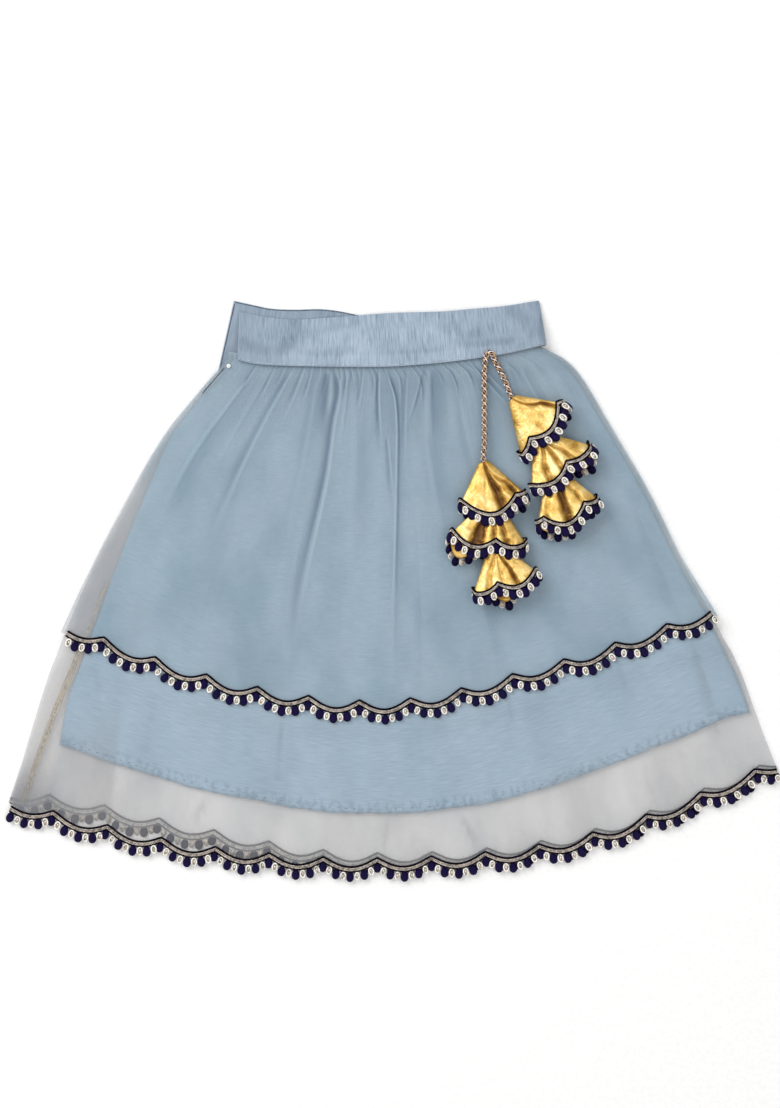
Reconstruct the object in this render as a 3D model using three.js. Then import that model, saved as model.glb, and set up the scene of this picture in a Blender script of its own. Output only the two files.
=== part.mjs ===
// A child's lehenga skirt, laid flat on its back: two gathered net layers over a plain lining, a wide
// slub-silk waistband with a side opening, scalloped lace on both net hems, and a cord with two
// three-tiered tassels caught in the waist seam.
//
// Millimetres, +Z up. +X runs across the skirt to the wearer's left, +Y from the hem to the waist.
// The sizes below are measured from the middle of the waist seam; the finished group is then moved so
// that its origin is the middle of its footprint, on the surface that the skirt lies on.

import * as THREE from "three";

// Cloth walls, and the gap that neighbouring pieces keep.
const CLOTH = 1;
const BAND = 2;
const LACE = 1.2;
const GAP = 0.3;

// The waistband, and the length of skirt that is sewn up into it.
const TUCK = 6;
const BAND_FLAT_FROM = 9; // the front band is level from the seam up to here, and slopes down above it

// Scalloped lace. A row of oval drops hangs from the braid, dark thread and metal thread in turn.
const BRAID_WIDTH = 5.5;
const SCALLOP_DEPTH = 8;
const DARK_DROP = { long: 7.5, wide: 5.6 };
const METAL_DROP = { long: 6.2, wide: 5.2 };
const DROPS_PER_SCALLOP = 8;

// Each net edge: how many scallops span it, and how far along its first cusp lies, in scallops.
const EDGES = {
  upperFront: { scallops: 12.6, first: 0.72 },
  upperBack: { scallops: 12.6, first: 0.72 },
  longFront: { scallops: 14.2, first: 0.8 },
  longBack: { scallops: 14, first: 0.71 },
};

// Hanging cord.
const CORD_DIAMETER = 5.2;
const CORD_SIDES = 8;
const CORD_STEP = 10;

// Materials.
const material = (color, roughness, metalness = 0, opacity = 1) =>
  new THREE.MeshStandardMaterial({ color, roughness, metalness, opacity, transparent: opacity < 1 });
const NET = material(0xa3b6c6, 0.75, 0, 0.6);
const LINING = material(0x9db9cc, 0.7);
const SLUB_SILK = material(0xa7bccd, 0.5);
const LACE_BORDER = material(0x2a2352, 0.55, 0.2);
const GOLD_LAME = material(0xd9ae4a, 0.3, 0.8);
const GOLD_CORD = material(0xc9a183, 0.5, 0.4);
const SNAP_PLASTIC = material(0xe9edf0, 0.35);

// ---------------------------------------------------------------------------------------------
// Plan of the skirt. Each row is one line across it. `down` is its depth at the middle, the other
// depths are at the left fold, a quarter, three quarters and the right fold, and the two x are the folds.
const PLAN = [
  { down: 0, leftX: -138, left: -7, quarter: -0.7, threeQuarter: -6, right: -18, rightX: 127 },
  { down: 10, leftX: -148, left: 4.5, quarter: 10, threeQuarter: 4, right: -8, rightX: 147 },
  { down: 30, leftX: -162, left: 20, quarter: 30, threeQuarter: 23, right: 7, rightX: 162 },
  { down: 75, leftX: -191, left: 56, quarter: 72, threeQuarter: 64, right: 43, rightX: 184 },
  { down: 150, leftX: -226, left: 116, quarter: 142, threeQuarter: 131, right: 103, rightX: 219 },
  { down: 225, leftX: -256, left: 175, quarter: 212, threeQuarter: 199, right: 163, rightX: 249 },
  { down: 291, leftX: -279, left: 230, quarter: 275, threeQuarter: 259, right: 217, rightX: 278 },
  { down: 335, leftX: -294, left: 274, quarter: 318, threeQuarter: 304, right: 256, rightX: 297 },
  { down: 380, leftX: -308, left: 320, quarter: 360, threeQuarter: 350, right: 294, rightX: 311 },
  { down: 425, leftX: -324, left: 376, quarter: 414, threeQuarter: 405, right: 342, rightX: 330 },
];
const UPPER_HEM = 291;
const LINING_HEM = 380;
const HEM = 425;

// How far the lining's side seams lie inside the folds of the net.
const LINING_INSET = [
  { down: 0, left: 5, right: 5 },
  { down: 75, left: 6, right: 5 },
  { down: 125, left: 11, right: 5 },
  { down: 225, left: 19, right: 5 },
  { down: 291, left: 22, right: 5 },
  { down: 335, left: 21, right: 5 },
  { down: 380, left: 27, right: 5 },
];

// Hems that lie higher than the skirt's own line: how much, at places across, and the depths between
// which the layer comes up to it.
const LINING_RISE = {
  across: [0, 0.08, 0.23, 0.5, 0.67, 0.79, 0.956, 1],
  rise: [7.8, 4.7, 0, 1.5, -1.5, 2.5, 5.5, 4.5],
  between: [319, LINING_HEM],
};
const LONG_BACK_RISE = {
  across: [0, 0.1, 0.25, 0.42, 0.6, 1],
  rise: [8, 15, 14, 5, 3, 3],
  between: [LINING_HEM + 2, HEM],
};

// The upper net puffs up between its creases: how high it stands, at depths below the seam.
const PUFF = [
  { down: 0, rise: 0 },
  { down: 12, rise: 2.4 },
  { down: 60, rise: 2.2 },
  { down: 150, rise: 1.6 },
  { down: 230, rise: 0.9 },
  { down: 261, rise: 0 },
];

// Creases that run down from the waist: three places along each, the share of the puff that it takes
// away, and how far it reaches to either side.
const CREASES = [
  { fromX: -120, from: 22, viaX: -163, via: 88, toX: -200, to: 175, deep: 0.7, reach: 9 },
  { fromX: -85, from: 10, viaX: -130, via: 102, toX: -163, to: 185, deep: 0.85, reach: 8 },
  { fromX: -73, from: 2, viaX: -80, via: 18, toX: -94, to: 50, deep: 0.7, reach: 5 },
  { fromX: -48, from: 2, viaX: -56, via: 94, toX: -90, to: 262, deep: 1, reach: 9 },
  { fromX: -23, from: 4, viaX: -25, via: 16, toX: -29, to: 40, deep: 0.7, reach: 4 },
  { fromX: -10, from: 3, viaX: -10.5, via: 30, toX: -8, to: 70, deep: 0.8, reach: 5 },
  { fromX: -3, from: 6, viaX: 8, via: 60, toX: 2, to: 262, deep: 1, reach: 8 },
  { fromX: 29, from: 1, viaX: 24, via: 24, toX: 13, to: 60, deep: 0.8, reach: 5 },
  { fromX: 38, from: 8, viaX: 39, via: 38, toX: 46, to: 95, deep: 0.5, reach: 9 },
  { fromX: 67, from: 1, viaX: 79, via: 14, toX: 108, to: 50, deep: 0.8, reach: 5 },
  { fromX: 112, from: 14, viaX: 150, via: 90, toX: 196, to: 190, deep: 0.5, reach: 12 },
];

// Gathers along the waist seam: small pleats that open out down the skirt.
const PLEATS = [
  { x: -108, long: 22, deep: 0.6 },
  { x: -97, long: 30, deep: 0.7 },
  { x: -86, long: 24, deep: 0.5 },
  { x: -66, long: 36, deep: 0.7 },
  { x: -58, long: 26, deep: 0.6 },
  { x: -40, long: 34, deep: 0.8 },
  { x: -34, long: 44, deep: 0.6 },
  { x: -29, long: 22, deep: 0.8 },
  { x: -17, long: 30, deep: 0.7 },
  { x: 3, long: 36, deep: 0.8 },
  { x: 9, long: 24, deep: 0.6 },
  { x: 16, long: 40, deep: 0.8 },
  { x: 22, long: 22, deep: 0.7 },
  { x: 34, long: 30, deep: 0.6 },
  { x: 42, long: 36, deep: 0.8 },
  { x: 48, long: 22, deep: 0.6 },
  { x: 55, long: 28, deep: 0.8 },
  { x: 61, long: 20, deep: 0.5 },
  { x: 76, long: 26, deep: 0.6 },
  { x: 88, long: 34, deep: 0.7 },
  { x: 99, long: 24, deep: 0.5 },
  { x: 110, long: 30, deep: 0.5 },
];
const PLEAT_REACH = 3;

// ---------------------------------------------------------------------------------------------
// Curves through tables.

const clamp = (value, low, high) => Math.min(high, Math.max(low, value));
const mix = (a, b, t) => a + (b - a) * t;
const ease = (t) => {
  const s = clamp(t, 0, 1);
  return s * s * (3 - 2 * s);
};

// A smooth curve through (places[i], values[i]), read at one place.
function through(places, values, at) {
  const last = places.length - 1;
  const i = clamp(places.findIndex((p) => p > at) - 1, 0, last - 1);
  const k = at >= places[last] ? last - 1 : i;
  const slope = (j) => {
    const a = Math.max(j - 1, 0);
    const b = Math.min(j + 1, last);
    return (values[b] - values[a]) / (places[b] - places[a]);
  };
  const span = places[k + 1] - places[k];
  const t = clamp((at - places[k]) / span, 0, 1);
  const t2 = t * t;
  const t3 = t2 * t;
  return (
    (2 * t3 - 3 * t2 + 1) * values[k] +
    (t3 - 2 * t2 + t) * span * slope(k) +
    (3 * t2 - 2 * t3) * values[k + 1] +
    (t3 - t2) * span * slope(k + 1)
  );
}

// One column of a table with a `down` column, read at a depth.
const column = (table, name, down) =>
  through(
    table.map((row) => row.down),
    table.map((row) => row[name]),
    down,
  );

const ACROSS = [0, 0.25, 0.5, 0.75, 1];

// The line across the skirt at one depth. Above the seam it is the seam's own line, moved up.
function planLine(down) {
  const at = Math.max(down, 0);
  const read = (name) => column(PLAN, name, at);
  const depths = ["left", "quarter", "down", "threeQuarter", "right"].map(read);
  return { leftX: read("leftX"), rightX: read("rightX"), depths, lift: Math.max(-down, 0) };
}

function planPoint(line, x) {
  const u = (x - line.leftX) / (line.rightX - line.leftX);
  return -through(ACROSS, line.depths, u) + line.lift;
}

// ---------------------------------------------------------------------------------------------
// The stack of layers, from the surface up. Each one lies between two depths, `from` and `to`. What
// lies on it rises over the stretch before the one, and comes down over the stretch after the other.
const ABOVE_ALL = [-90, -80];
const OVER_UPPER_LACE = [UPPER_HEM - 30, UPPER_HEM - 14];
const PAST_UPPER_LACE = [UPPER_HEM + 14, UPPER_HEM + 28];
const PAST_LINING = [LINING_HEM + 2, LINING_HEM + 12];
const PAST_HEM = [HEM + 20, HEM + 30];
const STACK = [
  { name: "backBand", thick: BAND, from: ABOVE_ALL, to: [10, 22] },
  { name: "upperLaceBack", thick: LACE, from: OVER_UPPER_LACE, to: PAST_UPPER_LACE },
  { name: "upperBack", thick: CLOTH, from: ABOVE_ALL, to: PAST_UPPER_LACE },
  { name: "hemLaceBack", thick: LACE, from: PAST_LINING, to: PAST_HEM },
  { name: "longBack", thick: CLOTH, from: ABOVE_ALL, to: PAST_HEM },
  { name: "liningBack", thick: CLOTH, from: ABOVE_ALL, to: PAST_LINING },
  { name: "liningFront", thick: CLOTH, from: ABOVE_ALL, to: PAST_LINING },
  { name: "longFront", thick: CLOTH, from: ABOVE_ALL, to: PAST_HEM },
  { name: "upperFront", thick: CLOTH, from: ABOVE_ALL, to: PAST_UPPER_LACE },
];

const ramp = (value, [start, end]) => clamp((value - start) / (end - start), 0, 1);

// How much of a layer's thickness lifts what lies on it, at a depth.
const present = (layer, down) => ramp(down, layer.from) * (1 - ramp(down, layer.to));

// The height of a layer's underside at a depth.
function underside(name, down) {
  let height = 0;
  for (const layer of STACK) {
    if (layer.name === name) return height;
    height += present(layer, down) * (layer.thick + GAP);
  }
  throw new Error("no layer named " + name);
}

// Half way between the front and the back of the skirt.
const middle = (down) => underside("liningFront", down) - GAP / 2;

// ---------------------------------------------------------------------------------------------
// Folds and gathers.

// A soft trough across a crease: 1 along its line, 0 beyond its reach.
const trough = (away, reach) => Math.cos((Math.PI / 2) * clamp(away / reach, -1, 1)) ** 2;

function creaseDepth({ fromX, from, viaX, via, toX, to, deep, reach }, x, down) {
  if (down <= from || down >= to) return 0;
  const t = (down - from) / (to - from);
  const line = through([from, via, to], [fromX, viaX, toX], down);
  return deep * ease(t * 8) * ease((1 - t) * 2.2) * trough(x - line, reach * (0.55 + 0.9 * t));
}

function pleatDepth({ x: seamX, long, deep }, x, u, down) {
  if (down >= long) return 0;
  const line = planLine(0);
  const seamU = (seamX - line.leftX) / (line.rightX - line.leftX);
  const here = planLine(down);
  const away = (u - seamU) * (here.rightX - here.leftX);
  return deep * ease((1 - down / long) * 1.6) * trough(away, PLEAT_REACH * (1 + down / long));
}

function foldHeight(x, u, down) {
  const depths = [
    ...CREASES.map((crease) => creaseDepth(crease, x, down)),
    ...PLEATS.map((pleat) => pleatDepth(pleat, x, u, down)),
  ];
  const left = depths.reduce((share, depth) => share * (1 - depth), 1);
  const inside = ease(u / 0.07) * ease((1 - u) / 0.07);
  return column(PUFF, "rise", clamp(down, 0, 261)) * left * inside;
}

// ---------------------------------------------------------------------------------------------
// Walls. A row is a list of { u, outer, inner }; neighbouring rows may hold different numbers of points.

// A wall's points at one place: its middle surface, moved half its thickness to either side.
const wallPoint = (u, centre, normal, thick) => ({
  u,
  outer: centre.clone().addScaledVector(normal, thick / 2),
  inner: centre.clone().addScaledVector(normal, -thick / 2),
});

// A closed solid between the outer and inner points of the rows. With `ring`, each row closes on itself.
function wallSolid(rows, ring = false) {
  const points = [];
  const index = new Map();
  const at = (p) => {
    if (!index.has(p)) index.set(p, points.push(p) - 1);
    return index.get(p);
  };
  const faces = [];
  const face = (a, b, c) => faces.push(at(a), at(b), at(c));
  const quad = (a, b, c, d) => {
    face(a, b, c);
    face(a, c, d);
  };
  const lines = ring ? rows.map((row) => [...row, { ...row[0], u: 1 }]) : rows;
  for (let r = 0; r + 1 < lines.length; r++) {
    const [a, b] = [lines[r], lines[r + 1]];
    let [i, j] = [0, 0];
    while (i + 1 < a.length || j + 1 < b.length) {
      const stepA = j + 1 >= b.length || (i + 1 < a.length && a[i + 1].u <= b[j + 1].u);
      const next = stepA ? a[i + 1] : b[j + 1];
      face(a[i].outer, b[j].outer, next.outer);
      face(a[i].inner, next.inner, b[j].inner);
      if (stepA) i++;
      else j++;
    }
  }
  const rim = (line, flip) => {
    for (let i = 0; i + 1 < line.length; i++) {
      const [p, q] = flip ? [line[i + 1], line[i]] : [line[i], line[i + 1]];
      quad(p.outer, q.outer, q.inner, p.inner);
    }
  };
  rim(lines[0], false);
  rim(lines[lines.length - 1], true);
  if (!ring) {
    rim(lines.map((line) => line[0]), true);
    rim(lines.map((line) => line[line.length - 1]), false);
  }
  const geometry = new THREE.BufferGeometry();
  geometry.setAttribute(
    "position",
    new THREE.Float32BufferAttribute(points.flatMap((p) => [p.x, p.y, p.z]), 3),
  );
  geometry.setIndex(faces);
  geometry.computeVertexNormals();
  return geometry;
}

function mesh(name, geometry, finish) {
  const made = new THREE.Mesh(geometry, finish);
  made.name = name;
  return made;
}

// ---------------------------------------------------------------------------------------------
// Skirt layers. `side` is 1 for a front and -1 for a back, whose outer face is the lower one.

const LINING_INSETS = (down) => ({
  left: column(LINING_INSET, "left", down),
  right: column(LINING_INSET, "right", down),
});

// The long net lies inside the upper one, and comes out to the skirt's own line below it.
const LONG_INSETS = (down) => {
  const inside = (CLOTH + GAP) * (1 - ramp(down, PAST_UPPER_LACE));
  return { left: inside, right: inside };
};
const NO_INSETS = () => ({ left: 0, right: 0 });

// A net bends round to meet its other half at the fold, with its radius there; the lining is flat.
const UPPER_BEND = 2.5 * CLOTH + 2.5 * GAP;
const LONG_BEND = UPPER_BEND - CLOTH - GAP;
const LAYERS = {
  upperFront: { side: 1, insets: NO_INSETS, bend: UPPER_BEND, folds: true },
  upperBack: { side: -1, insets: NO_INSETS, bend: UPPER_BEND },
  longFront: { side: 1, insets: LONG_INSETS, bend: LONG_BEND },
  longBack: { side: -1, insets: LONG_INSETS, bend: LONG_BEND, hem: LONG_BACK_RISE },
  liningFront: { side: 1, insets: LINING_INSETS, bend: 0, hem: LINING_RISE },
  liningBack: { side: -1, insets: LINING_INSETS, bend: 0, hem: LINING_RISE },
};

// The middle surface of a layer at a depth and a share of its width, with its upward normal.
function surface(name, down, u) {
  const { side, insets, bend, folds, hem } = LAYERS[name];
  const line = planLine(down);
  const inset = insets(Math.max(down, 0));
  const leftX = line.leftX + inset.left + CLOTH / 2;
  const rightX = line.rightX - inset.right - CLOTH / 2;
  const flat = underside(name, down) + CLOTH / 2;
  const rise = (at) => (folds ? foldHeight(mix(leftX, rightX, at), at, down) : 0);
  const x = mix(leftX, rightX, u);
  const raised = hem ? through(hem.across, hem.rise, u) * ramp(down, hem.between) : 0;
  const centre = new THREE.Vector3(x, planPoint(line, x) + raised, flat + rise(u));
  const fromEdge = Math.min(x - leftX, rightX - x);
  if (bend && fromEdge < bend - 1e-6) {
    // Below the lining the two halves lie so close that neither bends.
    const bent = 1 - ramp(down, PAST_LINING);
    const angle = Math.asin(clamp(1 - fromEdge / bend, 0, 1));
    const rest = middle(down) + (side * GAP) / 2;
    centre.z = mix(flat, rest, bent * (1 - Math.cos(angle)));
    const out = side * (x < 0 ? -1 : 1);
    const lean = bent * angle;
    return { centre, normal: new THREE.Vector3(out * Math.sin(lean), 0, Math.cos(lean)) };
  }
  const step = 0.002;
  const slope = (rise(Math.min(u + step, 1)) - rise(Math.max(u - step, 0))) / (2 * step * (rightX - leftX));
  return { centre, normal: new THREE.Vector3(-slope, 0, 1).normalize() };
}

// Shares of the width for one row: even steps, with three more where the layer bends round.
function sharesAcross(name, down, count) {
  const { bend, insets } = LAYERS[name];
  const line = planLine(down);
  const inset = insets(Math.max(down, 0));
  const width = line.rightX - line.leftX - inset.left - inset.right - CLOTH;
  const start = bend / width;
  const turns = bend ? [90, 60, 30].map((turn) => start * (1 - Math.sin((turn * Math.PI) / 180))) : [];
  const shares = [];
  for (let i = 0; i <= count; i++) shares.push(mix(start, 1 - start, i / count));
  return [...turns, ...shares, ...turns.map((share) => 1 - share).reverse()];
}

// The lace's scallops: 0 at each cusp and 1 at the lowest point between two of them.
const scallop = (u, edge) => {
  const share = (u * edge.scallops + 1 - edge.first) % 1;
  return 1 - Math.abs(2 * share - 1) ** 1.7;
};

// How far below the layer's hem line its scalloped edge lies.
const scallopDrop = (u, edge) => SCALLOP_DEPTH * (scallop(u, edge) - 0.5);

// One skirt layer. `rows` lists the depths with the number of steps across each. The last row of a
// net is cut to its scallops.
function layerSolid(name, rows) {
  const edge = EDGES[name];
  const last = rows[rows.length - 1][0];
  const pointsOf = ([down, count]) =>
    sharesAcross(name, down, count).map((u) => {
      const { centre, normal } = surface(name, down, u);
      // The scallops stop where the net bends round.
      const clear = ramp(Math.min(u, 1 - u), [0.01, 0.03]);
      if (edge && down === last) centre.y -= clear * scallopDrop(u, edge);
      return wallPoint(u, centre, normal, CLOTH);
    });
  return wallSolid(rows.map(pointsOf));
}

// ---------------------------------------------------------------------------------------------
// Lace along a net's hem, on its outer face: a braid, and drops that pass the hem.

// Places along an edge, from 0 to 1, `perScallop` of them to each scallop, with one on every cusp
// when `shift` is 0.
function placesAlong({ scallops, first }, perScallop, shift = 0) {
  const count = scallops * perScallop;
  const places = [];
  for (let at = (first * perScallop + shift) % 1; at < count; at++) places.push(at / count);
  return places;
}

// The lower edge of lace with drops. `bounds` are the places where one drop meets the next.
function dropEdge(bounds, edge, place) {
  const points = [place(0, 0), place(bounds[0], 0.5)];
  const pitch = 1 / (edge.scallops * DROPS_PER_SCALLOP);
  bounds.slice(1).forEach((bound) => {
    const fromCusp = (bound - pitch / 2) / pitch - edge.first * DROPS_PER_SCALLOP;
    const drop = Math.round(fromCusp) % 2 ? METAL_DROP : DARK_DROP;
    points.push(place(bound - 0.75 * pitch, drop.long));
    points.push(place(bound - 0.25 * pitch, drop.long));
    points.push(place(bound, 0.5));
  });
  return [...points, place(1, 0)];
}

function laceSolid(name, hem, withDrops) {
  const edge = EDGES[name];
  const { side, bend } = LAYERS[name];
  const line = planLine(hem);
  const start = bend && hem < LINING_HEM ? bend / (line.rightX - line.leftX - CLOTH) : 0;
  const out = side * (CLOTH / 2 + GAP + LACE / 2);
  const place = (share, below) => {
    const u = mix(start, 1 - start, share);
    const { centre, normal } = surface(name, hem, u);
    centre.addScaledVector(normal, out);
    centre.y -= below + scallopDrop(u, edge);
    return wallPoint(share, centre, normal, LACE);
  };
  const row = (places, below) => [0, ...places, 1].map((share) => place(share, below));
  if (withDrops) {
    const bounds = placesAlong(edge, DROPS_PER_SCALLOP, 0.5);
    return wallSolid([row(bounds, -BRAID_WIDTH), dropEdge(bounds, edge, place)]);
  }
  const turns = placesAlong(edge, 2);
  return wallSolid([row(turns, -BRAID_WIDTH), row(turns, METAL_DROP.long)]);
}

// ---------------------------------------------------------------------------------------------
// Waistband, front and back. Heights of its two edges above the seam's middle, at places across.
const BANDS = {
  front: {
    side: 1,
    top: {
      leftX: -128,
      rightX: 127,
      across: [0, 0.08, 0.18, 0.3, 0.5, 0.68, 0.78, 0.88, 1],
      heights: [48, 43.6, 41, 42.6, 46.4, 47.8, 50, 52.2, 57],
    },
    bottom: {
      leftX: -129,
      rightX: 133,
      across: [0, 0.06, 0.18, 0.46, 0.58, 0.72, 0.87, 1],
      heights: [6, 2.4, 0.8, 0.1, 1.7, 5.4, 11.2, 19],
    },
  },
  back: {
    side: -1,
    top: {
      leftX: -132.6,
      rightX: 127,
      across: [0, 0.06, 0.12, 0.2, 0.28, 0.34, 0.42, 0.5, 0.75, 1],
      heights: [57, 53.6, 50.4, 49.4, 49.9, 48.4, 44.6, 43.6, 47.8, 56.3],
    },
    bottom: { leftX: -146, rightX: 133, across: ACROSS, heights: [-3, 0.6, 0.4, 6, 19] },
  },
};
const BAND_STEPS = 18;
const BAND_CURL = 5;

function bandSolid(name) {
  const { side, top, bottom } = BANDS[name];
  const low = underside("upperFront", 0) + CLOTH + 2 * GAP;
  const high = BAND + GAP;
  const tall = 42;
  const rows = [1, 0.75, 0.5, BAND_FLAT_FROM / tall, 0].map((share) => {
    const leftX = mix(bottom.leftX, top.leftX, share);
    const rightX = mix(bottom.rightX, top.rightX, share) - BAND / 2;
    const slope = ease((share - BAND_FLAT_FROM / tall) / (1 - BAND_FLAT_FROM / tall));
    const flat = (side > 0 ? mix(low, high, slope) : 0) + BAND / 2;
    const half = (BAND + mix(low, high, slope)) / 2;
    const shares = [];
    for (let i = 0; i <= BAND_STEPS; i++) shares.push(i / BAND_STEPS);
    const curlAt = [1, 0.5, 0.15, 0].map((s) => 1 - (s * BAND_CURL) / (rightX - leftX));
    const across = [...shares.filter((u) => u < curlAt[0] - 0.01), ...curlAt];
    return across.map((u) => {
      const x = mix(leftX, rightX, u);
      const [lowY, highY] = [bottom, top].map((edge) => through(edge.across, edge.heights, u));
      const y = mix(lowY, highY, share);
      const bend = clamp(1 - (rightX - x) / BAND_CURL, 0, 1);
      const angle = Math.asin(bend);
      const z = mix(half + (side * GAP) / 2, flat, Math.cos(angle));
      const normal = new THREE.Vector3(side * Math.sin(angle), 0, Math.cos(angle));
      return wallPoint(u, new THREE.Vector3(x, y, z), normal, BAND);
    });
  });
  return wallSolid(rows);
}

// ---------------------------------------------------------------------------------------------
// The upper half of a snap fastener, sewn to the front by the side opening.
const SNAP = { x: -136.5, depth: 4.5, diameter: 3.6, tall: 1.4, sides: 12 };

function snapSolid() {
  const line = planLine(SNAP.depth);
  const disc = new THREE.CylinderGeometry(SNAP.diameter / 2, SNAP.diameter / 2, SNAP.tall, SNAP.sides);
  const height = underside("upperFront", SNAP.depth) + CLOTH + 3 * GAP + SNAP.tall / 2;
  return disc.rotateX(Math.PI / 2).translate(SNAP.x, planPoint(line, SNAP.x), height);
}

// ---------------------------------------------------------------------------------------------
// Tassels: three hollow cones each, the neck of each one inside the mouth of the one above.
// neck is the neck's middle in plan, turn the way from neck to mouth, in degrees from straight down
// towards +X, and long the length at its two sides. The mouth's middle lies bulge past them, and its
// left side slant further out than its right; mouth and tall are its width and height.
const NET_FOLD_RISE = 2.4;
const TASSEL_FLOOR = underside("upperFront", 100) + CLOTH + NET_FOLD_RISE + GAP;
const NECK = 8.9;
const TIER_STEP = LACE + GAP; // each tier lies this much higher than the one round its neck
const TIERS = [
  {
    name: "left_1", neck: [79, -80.5], turn: 14,
    long: 33, bulge: 11, slant: -4, mouth: 56, tall: 13.5, level: 1,
  },
  {
    name: "left_2", neck: [86, -112], turn: -6,
    long: 34, bulge: 7, slant: 0, mouth: 64, tall: 13.5, level: 2,
  },
  {
    name: "left_3", neck: [87.6, -149.6], turn: 17,
    long: 34, bulge: 6, slant: 0, mouth: 56, tall: 12, level: 3,
  },
  {
    name: "right_1", neck: [103, -27], turn: 45,
    long: 37, bulge: 4, slant: 4, mouth: 57, tall: 14, level: 1,
  },
  {
    name: "right_2", neck: [124, -57], turn: 36,
    long: 34, bulge: 7, slant: 0, mouth: 61, tall: 14, level: 2,
  },
  {
    name: "right_3", neck: [136.5, -85], turn: 19,
    long: 40, bulge: 8, slant: 4, mouth: 55, tall: 12, level: 3.3,
  },
];
const CONE_POINTS = 16;
const CONE_RINGS = [0, 0.5, 1];
const tierBase = (level) => TASSEL_FLOOR + level * TIER_STEP;

// A point on a tier's outer face, with its normal. share runs from neck to mouth, turned round it.
function tierSurface(tier, share, round, past = 0) {
  const angle = -2 * Math.PI * round;
  const wide = mix(NECK, tier.mouth, share);
  const tall = mix(NECK, tier.tall, share);
  const sine = Math.sin(angle);
  const across = (wide / 2) * Math.cos(angle);
  const up = (tall / 2) * Math.sign(sine) * Math.abs(sine) ** 0.6;
  const shape = tier.bulge * sine ** 2 - (tier.slant / 2) * Math.cos(angle);
  const along = (tier.long + shape) * share + past;
  const turn = THREE.MathUtils.degToRad(tier.turn);
  const forward = new THREE.Vector3(Math.sin(turn), -Math.cos(turn), 0);
  const sideways = new THREE.Vector3(Math.cos(turn), Math.sin(turn), 0);
  const centre = new THREE.Vector3(...tier.neck, tierBase(tier.level) + tall / 2 + up)
    .addScaledVector(forward, along)
    .addScaledVector(sideways, across);
  const normal = sideways
    .multiplyScalar(Math.cos(angle) / wide)
    .add(new THREE.Vector3(0, 0, sine / tall))
    .normalize();
  return { centre, normal };
}

function tierSolid(tier) {
  const row = (share) =>
    Array.from({ length: CONE_POINTS }, (_, i) => {
      const { centre, normal } = tierSurface(tier, share, i / CONE_POINTS);
      return { u: i / CONE_POINTS, outer: centre, inner: centre.clone().addScaledVector(normal, -CLOTH) };
    });
  return wallSolid(CONE_RINGS.map(row), true);
}

const TIER_BRAID = 3.5;
function tierLaceSolid(tier) {
  const place = (u, past) => {
    const { centre, normal } = tierSurface(tier, 1, u, past);
    centre.addScaledVector(normal, GAP);
    return { u, outer: centre.clone().addScaledVector(normal, LACE), inner: centre };
  };
  const top = [];
  const edge = [];
  for (let i = 0; i < CONE_POINTS; i++) {
    const drop = i % 2 ? DARK_DROP : METAL_DROP;
    top.push(place(i / CONE_POINTS, -TIER_BRAID));
    edge.push(place(i / CONE_POINTS, 0.6));
    edge.push(place((i + 0.25) / CONE_POINTS, drop.long));
    edge.push(place((i + 0.75) / CONE_POINTS, drop.long));
  }
  return wallSolid([top, edge], true);
}

// ---------------------------------------------------------------------------------------------
// Cord: two strands from where it is caught in the waist seam, each down through its three necks.
const BAND_TOP = underside("upperFront", 0) + CLOTH + BAND + 3 * GAP + CORD_DIAMETER / 2;
const OVER_NET = TASSEL_FLOOR + CORD_DIAMETER / 2 + 0.8;
const NECK_MIDDLE = (level) => tierBase(level) + NECK / 2;
const CORD_ROUTES = {
  left: [
    [81.4, 9.6, BAND_TOP],
    [80.4, 4, BAND_TOP],
    [79.9, -6, BAND_TOP - 0.4],
    [79.9, -24, OVER_NET + 0.6],
    [79.9, -44, OVER_NET],
    [79.9, -62, OVER_NET + 1],
    [79, -80.5, NECK_MIDDLE(1)],
    [82.4, -97, NECK_MIDDLE(1.5)],
    [86, -112, NECK_MIDDLE(2)],
    [87, -131, NECK_MIDDLE(2.5)],
    [87.6, -149.6, NECK_MIDDLE(3)],
    [89, -158, NECK_MIDDLE(3)],
  ],
  right: [
    [87.4, 8.4, BAND_TOP],
    [89.6, 3, BAND_TOP],
    [94, -5, BAND_TOP - 0.4],
    [98.8, -15.5, OVER_NET + 1.2],
    [103, -27, NECK_MIDDLE(1)],
    [113, -42, NECK_MIDDLE(1.5)],
    [124, -57, NECK_MIDDLE(2)],
    [131, -69, NECK_MIDDLE(2.5)],
    [136.5, -85, NECK_MIDDLE(3)],
    [138.8, -93, NECK_MIDDLE(3)],
  ],
};

function cordSolid(route) {
  const path = new THREE.CatmullRomCurve3(route.map((p) => new THREE.Vector3(...p)), false, "centripetal");
  const section = new THREE.Shape();
  for (let i = 0; i < CORD_SIDES; i++) {
    const angle = (2 * Math.PI * i) / CORD_SIDES;
    const [x, y] = [(CORD_DIAMETER / 2) * Math.cos(angle), (CORD_DIAMETER / 2) * Math.sin(angle)];
    if (i) section.lineTo(x, y);
    else section.moveTo(x, y);
  }
  const steps = Math.round(path.getLength() / CORD_STEP);
  return new THREE.ExtrudeGeometry(section, { steps, extrudePath: path, bevelEnabled: false });
}

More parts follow.
